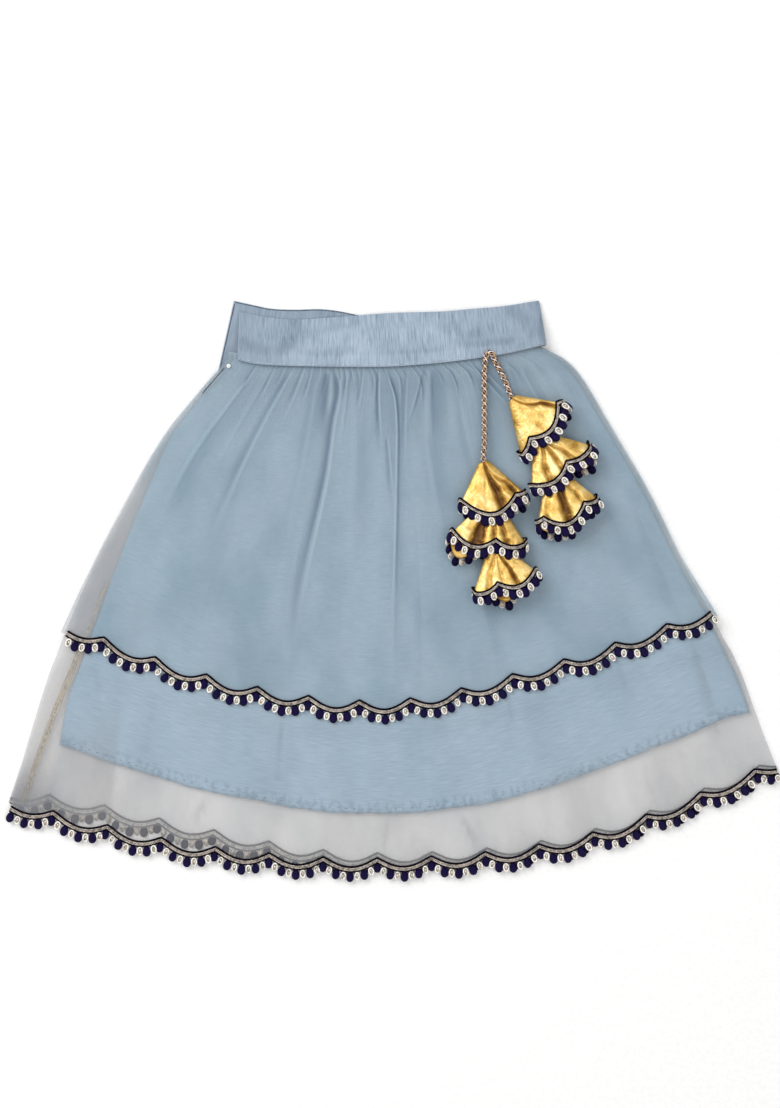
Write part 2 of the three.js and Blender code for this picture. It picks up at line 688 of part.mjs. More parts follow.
// ---------------------------------------------------------------------------------------------
// The group.
// Each row of a layer: its depth, and how many steps go across it.
const UPPER_FRONT_ROWS = [
  [-TUCK, 22], [0, 44], [4, 88], [10, 88], [22, 88], [40, 44], [60, 44], [85, 44], [110, 44],
  [135, 38], [160, 38], [188, 38], [215, 34], [240, 30], [261, 26], [277, 26], [UPPER_HEM, 50],
];
const UPPER_BACK_ROWS = [
  [-TUCK, 12], [0, 12], [10, 12], [22, 12], [60, 12], [110, 12], [160, 12], [215, 12],
  [261, 12], [277, 20], [UPPER_HEM, 39],
];
const LONG_ROWS = [
  [-TUCK, 12], [0, 12], [10, 12], [22, 12], [60, 12], [110, 12], [160, 12], [215, 12],
  [261, 12], [277, 12], [UPPER_HEM, 12], [305, 14], [319, 14], [350, 14], [382, 14], [392, 14],
  [411, 22], [HEM, 43],
];
const LINING_ROWS = [
  [-TUCK, 12], [0, 12], [10, 12], [22, 12], [60, 12], [110, 12], [160, 12], [215, 12],
  [261, 12], [277, 12], [UPPER_HEM, 12], [305, 14], [319, 14], [350, 14], [LINING_HEM, 14],
];

const skirt = new THREE.Group();
skirt.add(mesh("upper_net_front", layerSolid("upperFront", UPPER_FRONT_ROWS), NET));
skirt.add(mesh("upper_net_back", layerSolid("upperBack", UPPER_BACK_ROWS), NET));
skirt.add(mesh("long_net_front", layerSolid("longFront", LONG_ROWS), NET));
skirt.add(mesh("long_net_back", layerSolid("longBack", LONG_ROWS), NET));
skirt.add(mesh("lining_front", layerSolid("liningFront", LINING_ROWS), LINING));
skirt.add(mesh("lining_back", layerSolid("liningBack", LINING_ROWS), LINING));
skirt.add(mesh("waistband_front", bandSolid("front"), SLUB_SILK));
skirt.add(mesh("waistband_back", bandSolid("back"), SLUB_SILK));
skirt.add(mesh("snap", snapSolid(), SNAP_PLASTIC));
skirt.add(mesh("upper_lace_front", laceSolid("upperFront", UPPER_HEM, true), LACE_BORDER));
skirt.add(mesh("upper_lace_back", laceSolid("upperBack", UPPER_HEM, false), LACE_BORDER));
skirt.add(mesh("hem_lace_front", laceSolid("longFront", HEM, true), LACE_BORDER));
skirt.add(mesh("hem_lace_back", laceSolid("longBack", HEM, false), LACE_BORDER));

const tassels = new THREE.Group();
for (const tier of TIERS) {
  tassels.add(mesh("tassel_cone_" + tier.name, tierSolid(tier), GOLD_LAME));
  tassels.add(mesh("tassel_lace_" + tier.name, tierLaceSolid(tier), LACE_BORDER));
}
for (const [name, route] of Object.entries(CORD_ROUTES)) {
  tassels.add(mesh("cord_" + name, cordSolid(route), GOLD_CORD));
}

const lehenga = new THREE.Group();
lehenga.add(skirt, tassels);

// The origin: the middle of the footprint, on the surface below.
const bounds = new THREE.Box3().setFromObject(lehenga, true);
const footprint = bounds.getCenter(new THREE.Vector3());
lehenga.position.set(-footprint.x, -footprint.y, -bounds.min.z);

export default lehenga;
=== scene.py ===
"""A child's lehenga skirt, laid flat and seen from straight above.

Two gathered layers of soft net lie over a plain slub lining, under a wide slub-silk waistband with a
side opening. Both net hems carry scalloped lace, and a plaited cord with two three-tiered tassels is
caught in the waist seam. Sizes are in millimetres, measured from the middle of the waist seam.
"""

import math

import bpy
import numpy as np
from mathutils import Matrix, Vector, noise

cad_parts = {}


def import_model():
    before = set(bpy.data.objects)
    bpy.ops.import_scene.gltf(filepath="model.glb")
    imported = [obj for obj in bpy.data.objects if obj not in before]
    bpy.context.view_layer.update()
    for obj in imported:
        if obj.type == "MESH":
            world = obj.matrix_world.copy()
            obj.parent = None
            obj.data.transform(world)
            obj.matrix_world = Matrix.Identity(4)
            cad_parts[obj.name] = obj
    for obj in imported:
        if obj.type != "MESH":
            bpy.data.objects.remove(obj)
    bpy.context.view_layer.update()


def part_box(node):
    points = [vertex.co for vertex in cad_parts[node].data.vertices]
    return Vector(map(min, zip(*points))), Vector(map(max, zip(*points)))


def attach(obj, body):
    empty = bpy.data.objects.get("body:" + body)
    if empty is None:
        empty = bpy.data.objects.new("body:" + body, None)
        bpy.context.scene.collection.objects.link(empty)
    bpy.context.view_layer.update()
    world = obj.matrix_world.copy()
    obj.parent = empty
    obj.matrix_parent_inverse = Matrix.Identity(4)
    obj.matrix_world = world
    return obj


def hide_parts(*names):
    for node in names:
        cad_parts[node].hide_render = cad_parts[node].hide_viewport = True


MM = 0.001


def named(names, *rows):
    """A table: each row holds its values under the given names."""
    keys = names.split()
    return [dict(zip(keys, row)) for row in rows]


# ------------------------------------------------------------------------------------------------
# Driving dimensions, in millimetres.

CLOTH = 1.0
BAND = 2.0
LACE = 1.2
GAP = 0.3

TUCK = 6.0
SCALLOP_DEPTH = 8.0
SCALLOP_REACH = 9.0  # how far above a net's hem its threads begin to follow the scallops
DROP_LENGTH = 9.2
DROP_WIDTH = 6.7
LOOP_LENGTH = 7.4
LOOP_WIDTH = 5.3
DROPS_PER_SCALLOP = 8
DROP_HEIGHT = 1.3
LOOP_THREAD = 1.35
LOOP_GROUND = 0.35
BRAID_TOP = -5.3  # the braid's two edges, measured down from the hem line
BRAID_FOOT = -1.3
BRAID_LIFT = 0.3
BRAID_THICK = 0.45
BRAID_STITCH_STEP = 1.3
TASSEL_LACE_SCALE = 0.95
TASSEL_DROP_STEP = 6.1
CORD_DIAMETER = 5.2
PLY_TURN = 0.0125  # metres along the cord in which a ply goes once round it
PLY_STEP = 0.0008  # metres of cord between a ply's points

# Each net edge: how many scallops span it, and how far along its first cusp lies, in scallops.
EDGES = {
    "upper_front": {"scallops": 12.6, "first": 0.72},
    "upper_back": {"scallops": 12.6, "first": 0.72},
    "long_front": {"scallops": 14.2, "first": 0.8},
    "long_back": {"scallops": 14.0, "first": 0.71},
}

UPPER_HEM = 291.0
LINING_HEM = 380.0
HEM = 425.0
UV_HALF = 0.29  # a panel's UV map runs from minus this to this across it, in metres

# The skirt's plan. Each row is one line across it: its depth at the middle, at the left fold, a
# quarter, three quarters and the right fold, and where the two folds are.
PLAN = named(
    "down left_x left quarter three right right_x",
    (0, -138, -7, -0.7, -6, -18, 127),
    (10, -148, 4.5, 10, 4, -8, 147),
    (30, -162, 20, 30, 23, 7, 162),
    (75, -191, 56, 72, 64, 43, 184),
    (150, -226, 116, 142, 131, 103, 219),
    (225, -256, 175, 212, 199, 163, 249),
    (291, -279, 230, 275, 259, 217, 278),
    (335, -294, 274, 318, 304, 256, 297),
    (380, -308, 320, 360, 350, 294, 311),
    (425, -324, 376, 414, 405, 342, 330),
)

# How far the lining's side seams lie inside the folds of the net.
LINING_INSET = named(
    "down left right",
    (0, 5, 5), (75, 6, 5), (125, 11, 5), (225, 19, 5),
    (291, 22, 5), (335, 21, 5), (380, 27, 5),
)

# Hems that lie higher than the skirt's own line: how much, at places across, and the depths between
# which the layer comes up to it.
UPPER_RISE = {
    "across": (0, 0.12, 0.3, 0.75, 0.9, 1),
    "rise": (5.5, 3.5, 1, 0, 3, 6.5),
    "between": (220, UPPER_HEM),
}
LINING_RISE = {
    "across": (0, 0.08, 0.23, 0.5, 0.67, 0.79, 0.956, 1),
    "rise": (7.8, 4.7, 0, 1.5, -1.5, 2.5, 5.5, 4.5),
    "between": (319, LINING_HEM),
}
LONG_BACK_RISE = {
    "across": (0, 0.1, 0.25, 0.42, 0.6, 1),
    "rise": (8, 15, 14, 5, 2.5, 0.5),
    "between": (LINING_HEM + 2, HEM),
}

# The layers from the surface up, each with the depths over which it lifts what lies on it.
ABOVE_ALL = (-90, -80)
OVER_UPPER_LACE = (UPPER_HEM - 30, UPPER_HEM - 14)
PAST_UPPER_LACE = (UPPER_HEM + 14, UPPER_HEM + 28)
PAST_LINING = (LINING_HEM + 2, LINING_HEM + 12)
PAST_HEM = (HEM + 20, HEM + 30)
STACK = named(
    "name thick from to",
    ("back_band", BAND, ABOVE_ALL, (10, 22)),
    ("upper_lace_back", LACE, OVER_UPPER_LACE, PAST_UPPER_LACE),
    ("upper_back", CLOTH, ABOVE_ALL, PAST_UPPER_LACE),
    ("hem_lace_back", LACE, PAST_LINING, PAST_HEM),
    ("long_back", CLOTH, ABOVE_ALL, PAST_HEM),
    ("lining_back", CLOTH, ABOVE_ALL, PAST_LINING),
    ("lining_front", CLOTH, ABOVE_ALL, PAST_LINING),
    ("long_front", CLOTH, ABOVE_ALL, PAST_HEM),
    ("upper_front", CLOTH, ABOVE_ALL, PAST_UPPER_LACE),
)

# The upper net puffs up between its creases: how high it stands at depths below the seam.
PUFF = named(
    "down rise",
    (0, 0), (12, 2.4), (60, 2.2),
    (150, 1.6), (230, 0.9), (261, 0),
)

# Creases that run down a layer: places along each, how deep it is, from 0 to 1, how far it reaches,
# the side that its sharp edge faces, 1 for the right and -1 for the left, and how much painted light
# its crest catches, 1 unless told. Creases from the seam begin at once, and the others grow slowly.
# Each crease is painted on its layer as shade behind its sharp edge and a highlight beside it; the nets
# are also denser there, and the loose layers sink into it.
UPPER_CREASES = named(
    "x down deep reach side",
    ((-120, -163, -200), (16, 88, 175), 0.5, 12, -1),
    ((-131, -150, -168), (0, 24, 60), 0.7, 6, -1),
    ((-96, -128, -160), (0, 60, 130), 0.3, 8, -1),
    ((-82, -104, -132, -163), (0, 40, 102, 185), 0.7, 8, 1),
    ((-73, -80, -94), (0, 18, 50), 0.7, 5, 1),
    ((-62, -72, -98), (0, 60, 190), 0.35, 8, 1),
    ((-48, -44, -49, -56, -74, -91), (0, 18, 45, 94, 176, 270), 1.0, 10, 1),
    ((-52, -55, -58), (4, 34, 66), 0.85, 14, 1),
    ((-33, -36, -42), (0, 30, 80), 0.5, 6, -1),
    ((-23, -25, -29), (0, 16, 40), 0.8, 3, 1),
    ((-27, -26, -30), (20, 90, 190), 0.28, 20, -1),
    ((-10, -10.5, -8), (0, 30, 80), 1.0, 3.5, 1),
    ((-3, 6, 7, 2.5), (0, 30, 94, 290), 1.0, 4.5, -1),
    ((-3, 3, 10), (60, 120, 130), 0.7, 4, 1),
    ((14, 12, 10), (0, 34, 110), 0.6, 4, 1),
    ((29, 24, 13), (0, 24, 60), 0.8, 3, -1),
    ((36, 37, 40), (4, 40, 90), 0.6, 20, -1),
    ((33, 40, 52), (60, 100, 170), 0.35, 16, -1),
    ((52, 62, 84), (4, 60, 160), 0.35, 10, 1),
    ((67, 79, 108), (0, 14, 50), 0.85, 4, -1),
    ((74, 92, 116), (0, 22, 50), 0.5, 5, -1),
    ((100, 116, 140), (4, 60, 140), 0.35, 10, -1),
    ((112, 150, 196), (10, 90, 190), 0.4, 12, -1),
    ((22, 25, 27), (110, 200, 320), 0.25, 9, 1),
    ((-66, -80, -88), (100, 190, 330), 0.22, 13, -1),
    ((58, 78, 100), (120, 200, 330), 0.22, 13, -1),
    ((-118, -150, -180), (120, 200, 330), 0.12, 15, 1),
    ((196, 240, 260), (130, 262, 340), 0.25, 12, 1),
)
LONG_CREASES = named(
    "x down deep reach side lit",
    ((-3, -3, -4), (380, 400, 425), 0.2, 5, 1),
    ((-152, -158, -170), (380, 392, 420), 0.25, 9, 1),
    ((60, 66, 74), (384, 400, 420), 0.2, 9, -1),
    # These two wide rows, with no lit crest, paint a broad shade over the lower left corner of the long net.
    ((-226, -240, -256), (300, 400, 520), 0.27, 90, 1, 0),
    ((-322, -330, -345), (376, 400, 520), 0.6, 110, -1, 0),
    ((250, 269, 284), (280, 340, 410), 0.3, 13, 1, 0.3),
)
LINING_CREASES = named(
    "x down deep reach side",
    ((-91, -93, -94), (294, 330, 378), 0.8, 4, 1),
    ((101, 102, 105), (262, 300, 352), 0.5, 5, 1),
    ((-200, -206, -214), (300, 340, 376), 0.25, 7, -1),
    ((28, 29, 31), (300, 345, 376), 0.2, 7, 1),
    ((180, 196, 214), (268, 310, 352), 0.3, 7, -1),
    ((208, 222, 246), (260, 288, 318), 0.3, 6, -1),
    ((-250, -246, -238), (290, 330, 370), 0.25, 7, 1),
)

# Gathers along the waist seam: small pleats that open out down the skirt, painted on the upper net as thin
# shade beside a highlight.
PLEATS = named(
    "x long deep",
    (-124, 18, 0.4), (-112, 26, 0.6), (-97, 34, 0.7), (-89, 20, 0.5),
    (-67, 36, 0.7), (-60, 18, 0.6), (-54, 26, 0.6), (-43, 20, 0.7),
    (-39, 34, 0.8), (-34, 16, 0.7), (-29, 24, 0.8), (-18, 32, 0.7),
    (-14, 14, 0.8), (-6, 18, 0.7), (3, 36, 0.8), (8, 16, 0.7),
    (18, 42, 0.7), (23, 18, 0.7), (34, 26, 0.6), (43, 38, 0.8),
    (48, 16, 0.6), (55, 28, 0.8), (61, 14, 0.7), (72, 20, 0.6),
    (88, 34, 0.5), (104, 26, 0.4),
)
PLEAT_REACH = 1.5
SLOW_FROM = 95  # creases that begin further down than this grow slowly

# Waistband halves: heights of the two edges above the seam's middle, from left to right.
BANDS = {
    "front": {
        "side": 1,
        "top": {
            "left_x": -128,
            "right_x": 127,
            "across": (0, 0.08, 0.18, 0.3, 0.5, 0.68, 0.78, 0.88, 1),
            "heights": (48, 43.6, 41, 42.6, 46.4, 47.8, 50, 52.2, 57),
        },
        "bottom": {
            "left_x": -129,
            "right_x": 133,
            "across": (0, 0.06, 0.18, 0.46, 0.58, 0.72, 0.87, 1),
            "heights": (6, 2.4, 0.8, 0.1, 1.7, 5.4, 11.2, 19),
        },
    },
    "back": {
        "side": -1,
        "top": {
            "left_x": -132.6,
            "right_x": 127,
            "across": (0, 0.06, 0.12, 0.2, 0.28, 0.34, 0.42, 0.5, 0.75, 1),
            "heights": (57, 53.6, 50.4, 49.4, 49.9, 48.4, 44.6, 43.6, 47.8, 56.3),
        },
        "bottom": {
            "left_x": -146,
            "right_x": 133,
            "across": (0, 0.25, 0.5, 0.75, 1),
            "heights": (-3, 0.6, 0.4, 6, 19),
        },
    },
}
BAND_FLAT_SHARE = 9 / 42
BAND_CURL = 5.0
BAND_STRIP = 0.2  # the share of its height that the band's folded lower strip takes

# Soft dents in the front band: the two ends of each, as shares across and up, how deep it is in
# millimetres, and how far it reaches. The silk also has shade painted into each dent.
BAND_DENTS = named(
    "from to deep reach",
    ((0.01, 0.4), (0.1, 0.3), 1.0, 9),
    ((0.17, 0.42), (0.2, 0.74), 0.8, 12),
    ((0.15, 0.34), (0.17, 0.44), 1.3, 9),
    ((0.26, 0.27), (0.38, 0.32), 0.6, 7),
    ((0.3, 0.78), (0.42, 0.86), 0.5, 4),
    ((0.5, 0.26), (0.66, 0.24), 0.45, 4),
    ((0.76, 0.3), (0.9, 0.24), 1.1, 6),
    ((0.74, 0.34), (0.8, 0.5), 0.6, 9),
    ((0.92, 0.9), (0.99, 0.3), 1.0, 12),
    ((0.7, 0.9), (0.76, 0.4), 0.4, 6),
)

SNAP = {"x": -136.5, "depth": 4.5}  # the snap's middle, across and below the waist seam

NET_FOLD_RISE = 2.4  # how high the net's folds stand under the tassels
NECK = 8.9  # the width of a tier's neck
TIER_STEP = LACE + GAP

# Tassel tiers: the neck's middle in plan, the way from neck to mouth in degrees from straight down
# towards +X, and the length at the sides. The mouth's middle lies bulge past them, and its left side
# slant further out than its right; mouth and tall are its width and height. cusp is a place across
# the mouth, from 0 to 1, where two scallops meet, and pitch how much of it one takes. creases are the
# folds down its front (place, depth, spread), and behind is what shows of its back below it (place,
# spread, reach).
TIERS = [
    {"name": "left_1", "neck": (79, -80.5), "turn": 14, "long": 33, "bulge": 11, "slant": -4,
     "mouth": 57, "tall": 13.5, "level": 1, "cusp": 0.84, "pitch": 0.84,
     "creases": ((0.62, 3.2, 0.12), (0.36, 0.7, 0.05), (0.9, 1.6, 0.06)),
     "behind": ((0.95, 0.2, 3.0),)},
    {"name": "left_2", "neck": (86, -112), "turn": -6, "long": 34, "bulge": 7, "slant": 0,
     "mouth": 65, "tall": 13.5, "level": 2, "cusp": 0.6, "pitch": 0.6,
     "creases": ((0.34, 3.8, 0.18), (0.6, 2.0, 0.06), (0.78, 1.8, 0.07)),
     "behind": ((0.16, 0.36, 14.0),)},
    {"name": "left_3", "neck": (87.6, -149.6), "turn": 17, "long": 34, "bulge": 6, "slant": 0,
     "mouth": 57, "tall": 12, "level": 3, "cusp": 0.38, "pitch": 0.66,
     "creases": ((0.68, 2.2, 0.05), (0.2, 1.6, 0.1), (0.45, 1.0, 0.04)),
     "behind": ((0.42, 0.3, 9.0),)},
    {"name": "right_1", "neck": (103, -27), "turn": 45, "long": 37, "bulge": 4, "slant": 4,
     "mouth": 58, "tall": 14, "level": 1, "cusp": 0.26, "pitch": 0.66,
     "creases": ((0.9, 2.2, 0.04), (0.5, 0.3, 0.1)),
     "behind": ((0.9, 0.2, 2.0),)},
    {"name": "right_2", "neck": (124, -57), "turn": 36, "long": 34, "bulge": 7, "slant": 0,
     "mouth": 62, "tall": 14, "level": 2, "cusp": 0.6, "pitch": 0.7,
     "creases": ((0.24, 1.6, 0.07), (0.5, 2.2, 0.05), (0.72, 1.6, 0.05)),
     "behind": ((0.8, 0.34, 8.0),)},
    {"name": "right_3", "neck": (136.5, -85), "turn": 19, "long": 40, "bulge": 8, "slant": 4,
     "mouth": 56, "tall": 12, "level": 3.3, "cusp": 0.12, "pitch": 0.66,
     "creases": ((0.48, 3.0, 0.13), (0.14, 1.0, 0.08), (0.8, 1.0, 0.05)),
     "behind": ((0.32, 0.42, 8.0),)},
]

# The side seam of the long net: how far inside the left fold its overlocked edge runs.
SIDE_SEAM = named(
    "down inset",
    (225, 17), (291, 18), (335, 15), (380, 12), (418, 9),
)

CAMERA_HEIGHT = 2.2
FRAME_TALL = 0.942
FRAME_MIDDLE = (0, -158.1)  # the middle of the view, in the skirt's own plan
SENSOR = 36


# ------------------------------------------------------------------------------------------------
# Curves through tables.


def ease(t):
    """A smooth step: 0 up to t = 0, and 1 from t = 1."""
    s = np.clip(t, 0, 1)
    return s * s * (3 - 2 * s)


def ramp(value, ends):
    """A straight step: 0 up to the first end, and 1 from the second."""
    return np.clip((value - ends[0]) / (ends[1] - ends[0]), 0, 1)


def mix(a, b, t):
    return a + (b - a) * t


def through(places, values, at):
    """A smooth curve through (places[i], values[i]), read at one place or at many."""
    p = np.asarray(places, float)
    v = np.asarray(values, float)
    at = np.asarray(at, float)
    order = np.arange(len(p))
    low = np.maximum(order - 1, 0)
    high = np.minimum(order + 1, len(p) - 1)
    slope = (v[high] - v[low]) / (p[high] - p[low])
    k = np.clip(np.searchsorted(p, at, side="right") - 1, 0, len(p) - 2)
    span = p[k + 1] - p[k]
    t = np.clip((at - p[k]) / span, 0, 1)
    t2 = t * t
    t3 = t2 * t
    start = (2 * t3 - 3 * t2 + 1) * v[k] + (t3 - 2 * t2 + t) * span * slope[k]
    return start + (3 * t2 - 2 * t3) * v[k + 1] + (t3 - t2) * span * slope[k + 1]


def column(table, name, at):
    """One column of a table, read at a depth."""
    return through([row["down"] for row in table], [row[name] for row in table], at)


def plan_line(down):
    """The line across the skirt at one depth."""
    read = {name: float(column(PLAN, name, max(down, 0))) for name in PLAN[0]}
    return {
        "left_x": read["left_x"],
        "right_x": read["right_x"],
        "width": read["right_x"] - read["left_x"],
        "depths": [read[name] for name in ("left", "quarter", "down", "three", "right")],
        "lift": max(-down, 0),
    }


def plan_y(line, x):
    u = (x - line["left_x"]) / line["width"]
    return -through((0, 0.25, 0.5, 0.75, 1), line["depths"], u) + line["lift"]


# ------------------------------------------------------------------------------------------------
# The stack of layers.


def underside(name, down):
    """How high a layer's underside lies at a depth, on all the layers below it."""
    height = 0.0
    for layer in STACK:
        if layer["name"] == name:
            return height
        here = ramp(down, layer["from"]) * (1 - ramp(down, layer["to"]))
        height += float(here) * (layer["thick"] + GAP)
    raise ValueError("no layer named " + name)


def middle(down):
    """Half way between the skirt's front and its back."""
    return underside("lining_front", down) - GAP / 2


def lining_insets(down):
    return tuple(float(column(LINING_INSET, side, down)) for side in ("left", "right"))


def long_insets(down):
    inside = (CLOTH + GAP) * (1 - float(ramp(down, PAST_UPPER_LACE)))
    return inside, inside


def no_insets(down):
    return 0.0, 0.0


UPPER_BEND = 2.5 * (CLOTH + GAP)
LONG_BEND = UPPER_BEND - CLOTH - GAP
LAYERS = {
    "upper_front": {"side": 1, "insets": no_insets, "bend": UPPER_BEND, "hem": UPPER_RISE},
    "upper_back": {"side": -1, "insets": no_insets, "bend": UPPER_BEND, "hem": UPPER_RISE},
    "long_front": {"side": 1, "insets": long_insets, "bend": LONG_BEND},
    "long_back": {"side": -1, "insets": long_insets, "bend": LONG_BEND, "hem": LONG_BACK_RISE},
    "lining_front": {"side": 1, "insets": lining_insets, "bend": 0, "hem": LINING_RISE},
    "lining_back": {"side": -1, "insets": lining_insets, "bend": 0, "hem": LINING_RISE},
}


def trough(away, reach):
    """A soft trough across a crease: 1 along its line, 0 beyond its reach."""
    return np.cos(np.pi / 2 * np.clip(away / reach, -1, 1)) ** 2


def sharp_fold(away, reach, side):
    """A fold across a layer: how deep it shades the side behind its edge and lights the other."""
    ahead = away * side
    dark = np.where(ahead > 0, trough(ahead, 0.1 * reach + 0.6), trough(ahead, reach))
    light = trough(ahead - 0.3 * reach - 0.8, 0.3 * reach + 0.6)
    return dark, light


def crease_at(crease, x, down):
    begin, end = crease["down"][0], crease["down"][-1]
    if down <= begin or down >= end:
        return np.zeros_like(x), np.zeros_like(x)
    t = (down - begin) / (end - begin)
    line = float(through(crease["down"], crease["x"], down))
    growth = ease(t * 12 + 0.4) if begin < SLOW_FROM else ease(t * 3)
    along = crease["deep"] * float(growth * ease((1 - t) * 1.7))
    dark, light = sharp_fold(x - line, crease["reach"] * (0.5 + 0.8 * t), crease["side"])
    return along * dark, along * light * crease.get("lit", 1)


def pleat_at(pleat, u, down):
    if down >= pleat["long"]:
        return np.zeros_like(u), np.zeros_like(u)
    seam = plan_line(0)
    seam_u = (pleat["x"] - seam["left_x"]) / seam["width"]
    away = (u - seam_u) * plan_line(down)["width"]
    share = max(down, 0) / pleat["long"]
    dark, light = sharp_fold(away, PLEAT_REACH * (1 + share), 1 if pleat["x"] < 0 else -1)
    along = pleat["deep"] * float(ease((1 - share) * 1.6))
    return along * dark, along * light


def unevenness(x, y, size, seed):
    """Soft unevenness of cloth, from -1 to 1, over stretches of about the given size."""
    places = zip(np.broadcast_to(x, np.shape(y)), y)
    return np.array([noise.noise(Vector((a / size, b / size, seed))) for a, b in places])


def folds_at(creases, pleats, x, u, down):
    """How deep each point lies in a fold, and how far it stands on its crest, from 0 to 1: the painted shade
    and painted highlight of the creases and pleats.
    """
    left, ridge_highlight = np.ones_like(u), np.zeros_like(u)
    marks = [crease_at(crease, x, down) for crease in creases]
    marks += [pleat_at(pleat, u, down) for pleat in pleats]
    for dark, light in marks:
        left = left * (1 - dark)
        ridge_highlight = np.maximum(ridge_highlight, light)
    return 1 - left, ridge_highlight


def upper_relief(x, y, u, down):
    """How high the upper net stands over its flat line, and where its folds and ridges are, which its
    material paints as shade and highlight.
    """
    crowd, ridge_highlight = folds_at(UPPER_CREASES, PLEATS, x, u, down)
    inside = ease(u / 0.07) * ease((1 - u) / 0.07)
    puff = float(column(PUFF, "rise", min(max(down, 0), 261)))
    loose = float(ramp(down, (8, 40)) * (1 - ramp(down, (225, 262))))
    wave = 0.5 * unevenness(x, y * 0.3, 26, 1.5) + 0.12 * unevenness(x, y * 0.6, 7, 7.5)
    rise = puff * (1 - 0.8 * crowd) + 0.4 * ridge_highlight * puff / 2.4 + wave * loose
    return rise * inside, crowd * inside, ridge_highlight * inside


def seen_folds(creases, pleats=()):
    """Folds that are pressed flat: they only make the net denser, with shade and a highlight painted along
    them.
    """
    def relief(x, y, u, down):
        crowd, ridge_highlight = folds_at(creases, pleats, x, u, down)
        return np.zeros_like(u), crowd, ridge_highlight

    return relief


def loose_folds(creases, height, seed):
    """Low folds in the part of a layer that shows below the upper net, with shade and a highlight painted
    along them.
    """
    def relief(x, y, u, down):
        crowd, ridge_highlight = folds_at(creases, (), x, u, down)
        loose = float(ramp(down, (LINING_HEM - 78, LINING_HEM - 60)))
        wave = 0.3 + 0.3 * unevenness(x, y * 0.5, 23, seed)
        return loose * height * (ridge_highlight + wave - 0.3 * crowd), crowd, ridge_highlight

    return relief


RELIEF = {
    "upper_front": upper_relief,
    "upper_back": seen_folds(UPPER_CREASES, PLEATS),
    "long_front": loose_folds(LONG_CREASES, 0.7, 3.5),
    "long_back": seen_folds(LONG_CREASES),
    "lining_front": loose_folds(LINING_CREASES, 0.3, 5.5),
}


def layer_edges(name, down):
    """Where the middle of a layer's wall is at the left and at the right fold."""
    line = plan_line(down)
    inset_left, inset_right = LAYERS[name]["insets"](max(down, 0))
    return line["left_x"] + inset_left + CLOTH / 2, line["right_x"] - inset_right - CLOTH / 2


def surface(name, down, u, out=0.0):
    """Points of a layer at a depth and shares of its width, moved out from its wall's middle.

    Returns the points, their outward directions, and how far each is in a fold and on a crest: the painted
    shade and painted highlight.
    """
    layer = LAYERS[name]
    side = layer["side"]
    left_x, right_x = layer_edges(name, down)
    u = np.asarray(u, float)
    x = mix(left_x, right_x, u)
    y = plan_y(plan_line(down), x)
    hem = layer.get("hem")
    if hem:
        y = y + through(hem["across"], hem["rise"], u) * float(ramp(down, hem["between"]))
    flat = underside(name, down) + CLOTH / 2
    rise, crowd, ridge_highlight = np.zeros_like(u), np.zeros_like(u), np.zeros_like(u)
    if name in RELIEF:
        rise, crowd, ridge_highlight = RELIEF[name](x, y, u, down)
    z = flat + rise
    lean = np.zeros_like(u)
    if layer["bend"]:
        from_edge = np.minimum(x - left_x, right_x - x)
        bent = 1 - float(ramp(down, PAST_LINING))
        angle = np.arcsin(np.clip(1 - from_edge / layer["bend"], 0, 1))
        rest = middle(down) + side * GAP / 2
        z = np.where(angle > 0, mix(flat, rest, bent * (1 - np.cos(angle))), z)
        lean = bent * angle
    outward = np.stack([np.where(u < 0.5, -1, 1) * np.sin(lean), 0 * u, side * np.cos(lean)], -1)
    return np.stack([x, y, z], -1) + outward * out, outward, (crowd, ridge_highlight)


def scallop(share):
    """How far a scalloped edge reaches past its even line: least at each cusp."""
    return SCALLOP_DEPTH * (0.5 - np.abs(2 * (share % 1) - 1) ** 1.9)


def scallop_drop(u, edge):
    return scallop(u * edge["scallops"] + 1 - edge["first"])


# ------------------------------------------------------------------------------------------------
# Meshes.

PLACE = Vector((0, 0, 0))  # where the middle of the waist seam is, set once the frame is loaded


def find_place():
    """The waist seam's middle in the frame, from where the snap is."""
    low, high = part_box("snap")
    line = plan_line(SNAP["depth"])
    PLACE.x = (low[0] + high[0]) / 2 - SNAP["x"] * MM
    PLACE.y = (low[1] + high[1]) / 2 - float(plan_y(line, SNAP["x"])) * MM


def world(points):
    return np.asarray(points, float) * MM + np.array(PLACE)


def new_object(name, data):
    made = bpy.data.objects.new(name, data)
    bpy.context.scene.collection.objects.link(made)
    return made


def new_piece(name, points, faces, *materials, uv=None, smooth=True, **values):
    """An object from points in metres, with a UV pair and named values for each point."""
    mesh = bpy.data.meshes.new(name)
    mesh.from_pydata([tuple(p) for p in points], [], faces)
    mesh.validate()
    if smooth:
        mesh.shade_smooth()
    if uv is not None:
        set_uv(mesh, uv)
    for key, each in values.items():
        mesh.attributes.new(key, "FLOAT", "POINT").data.foreach_set("value", np.asarray(each, float))
    for material in materials:
        mesh.materials.append(material)
    return new_object(name, mesh)


def sewn_on(made, node=None):
    """A finished piece: it may stand for a solid, and it rides on the skirt."""
    if node:
        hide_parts(node)
    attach(made, "root")
    return made


def grid_faces(rows, columns, flip=False, ring=False):
    faces = []
    last = columns if ring else columns - 1
    for r in range(rows - 1):
        for c in range(last):
            n = (c + 1) % columns
            face = (r * columns + c, (r + 1) * columns + c, (r + 1) * columns + n, r * columns + n)
            faces.append(face[::-1] if flip else face)
    return faces


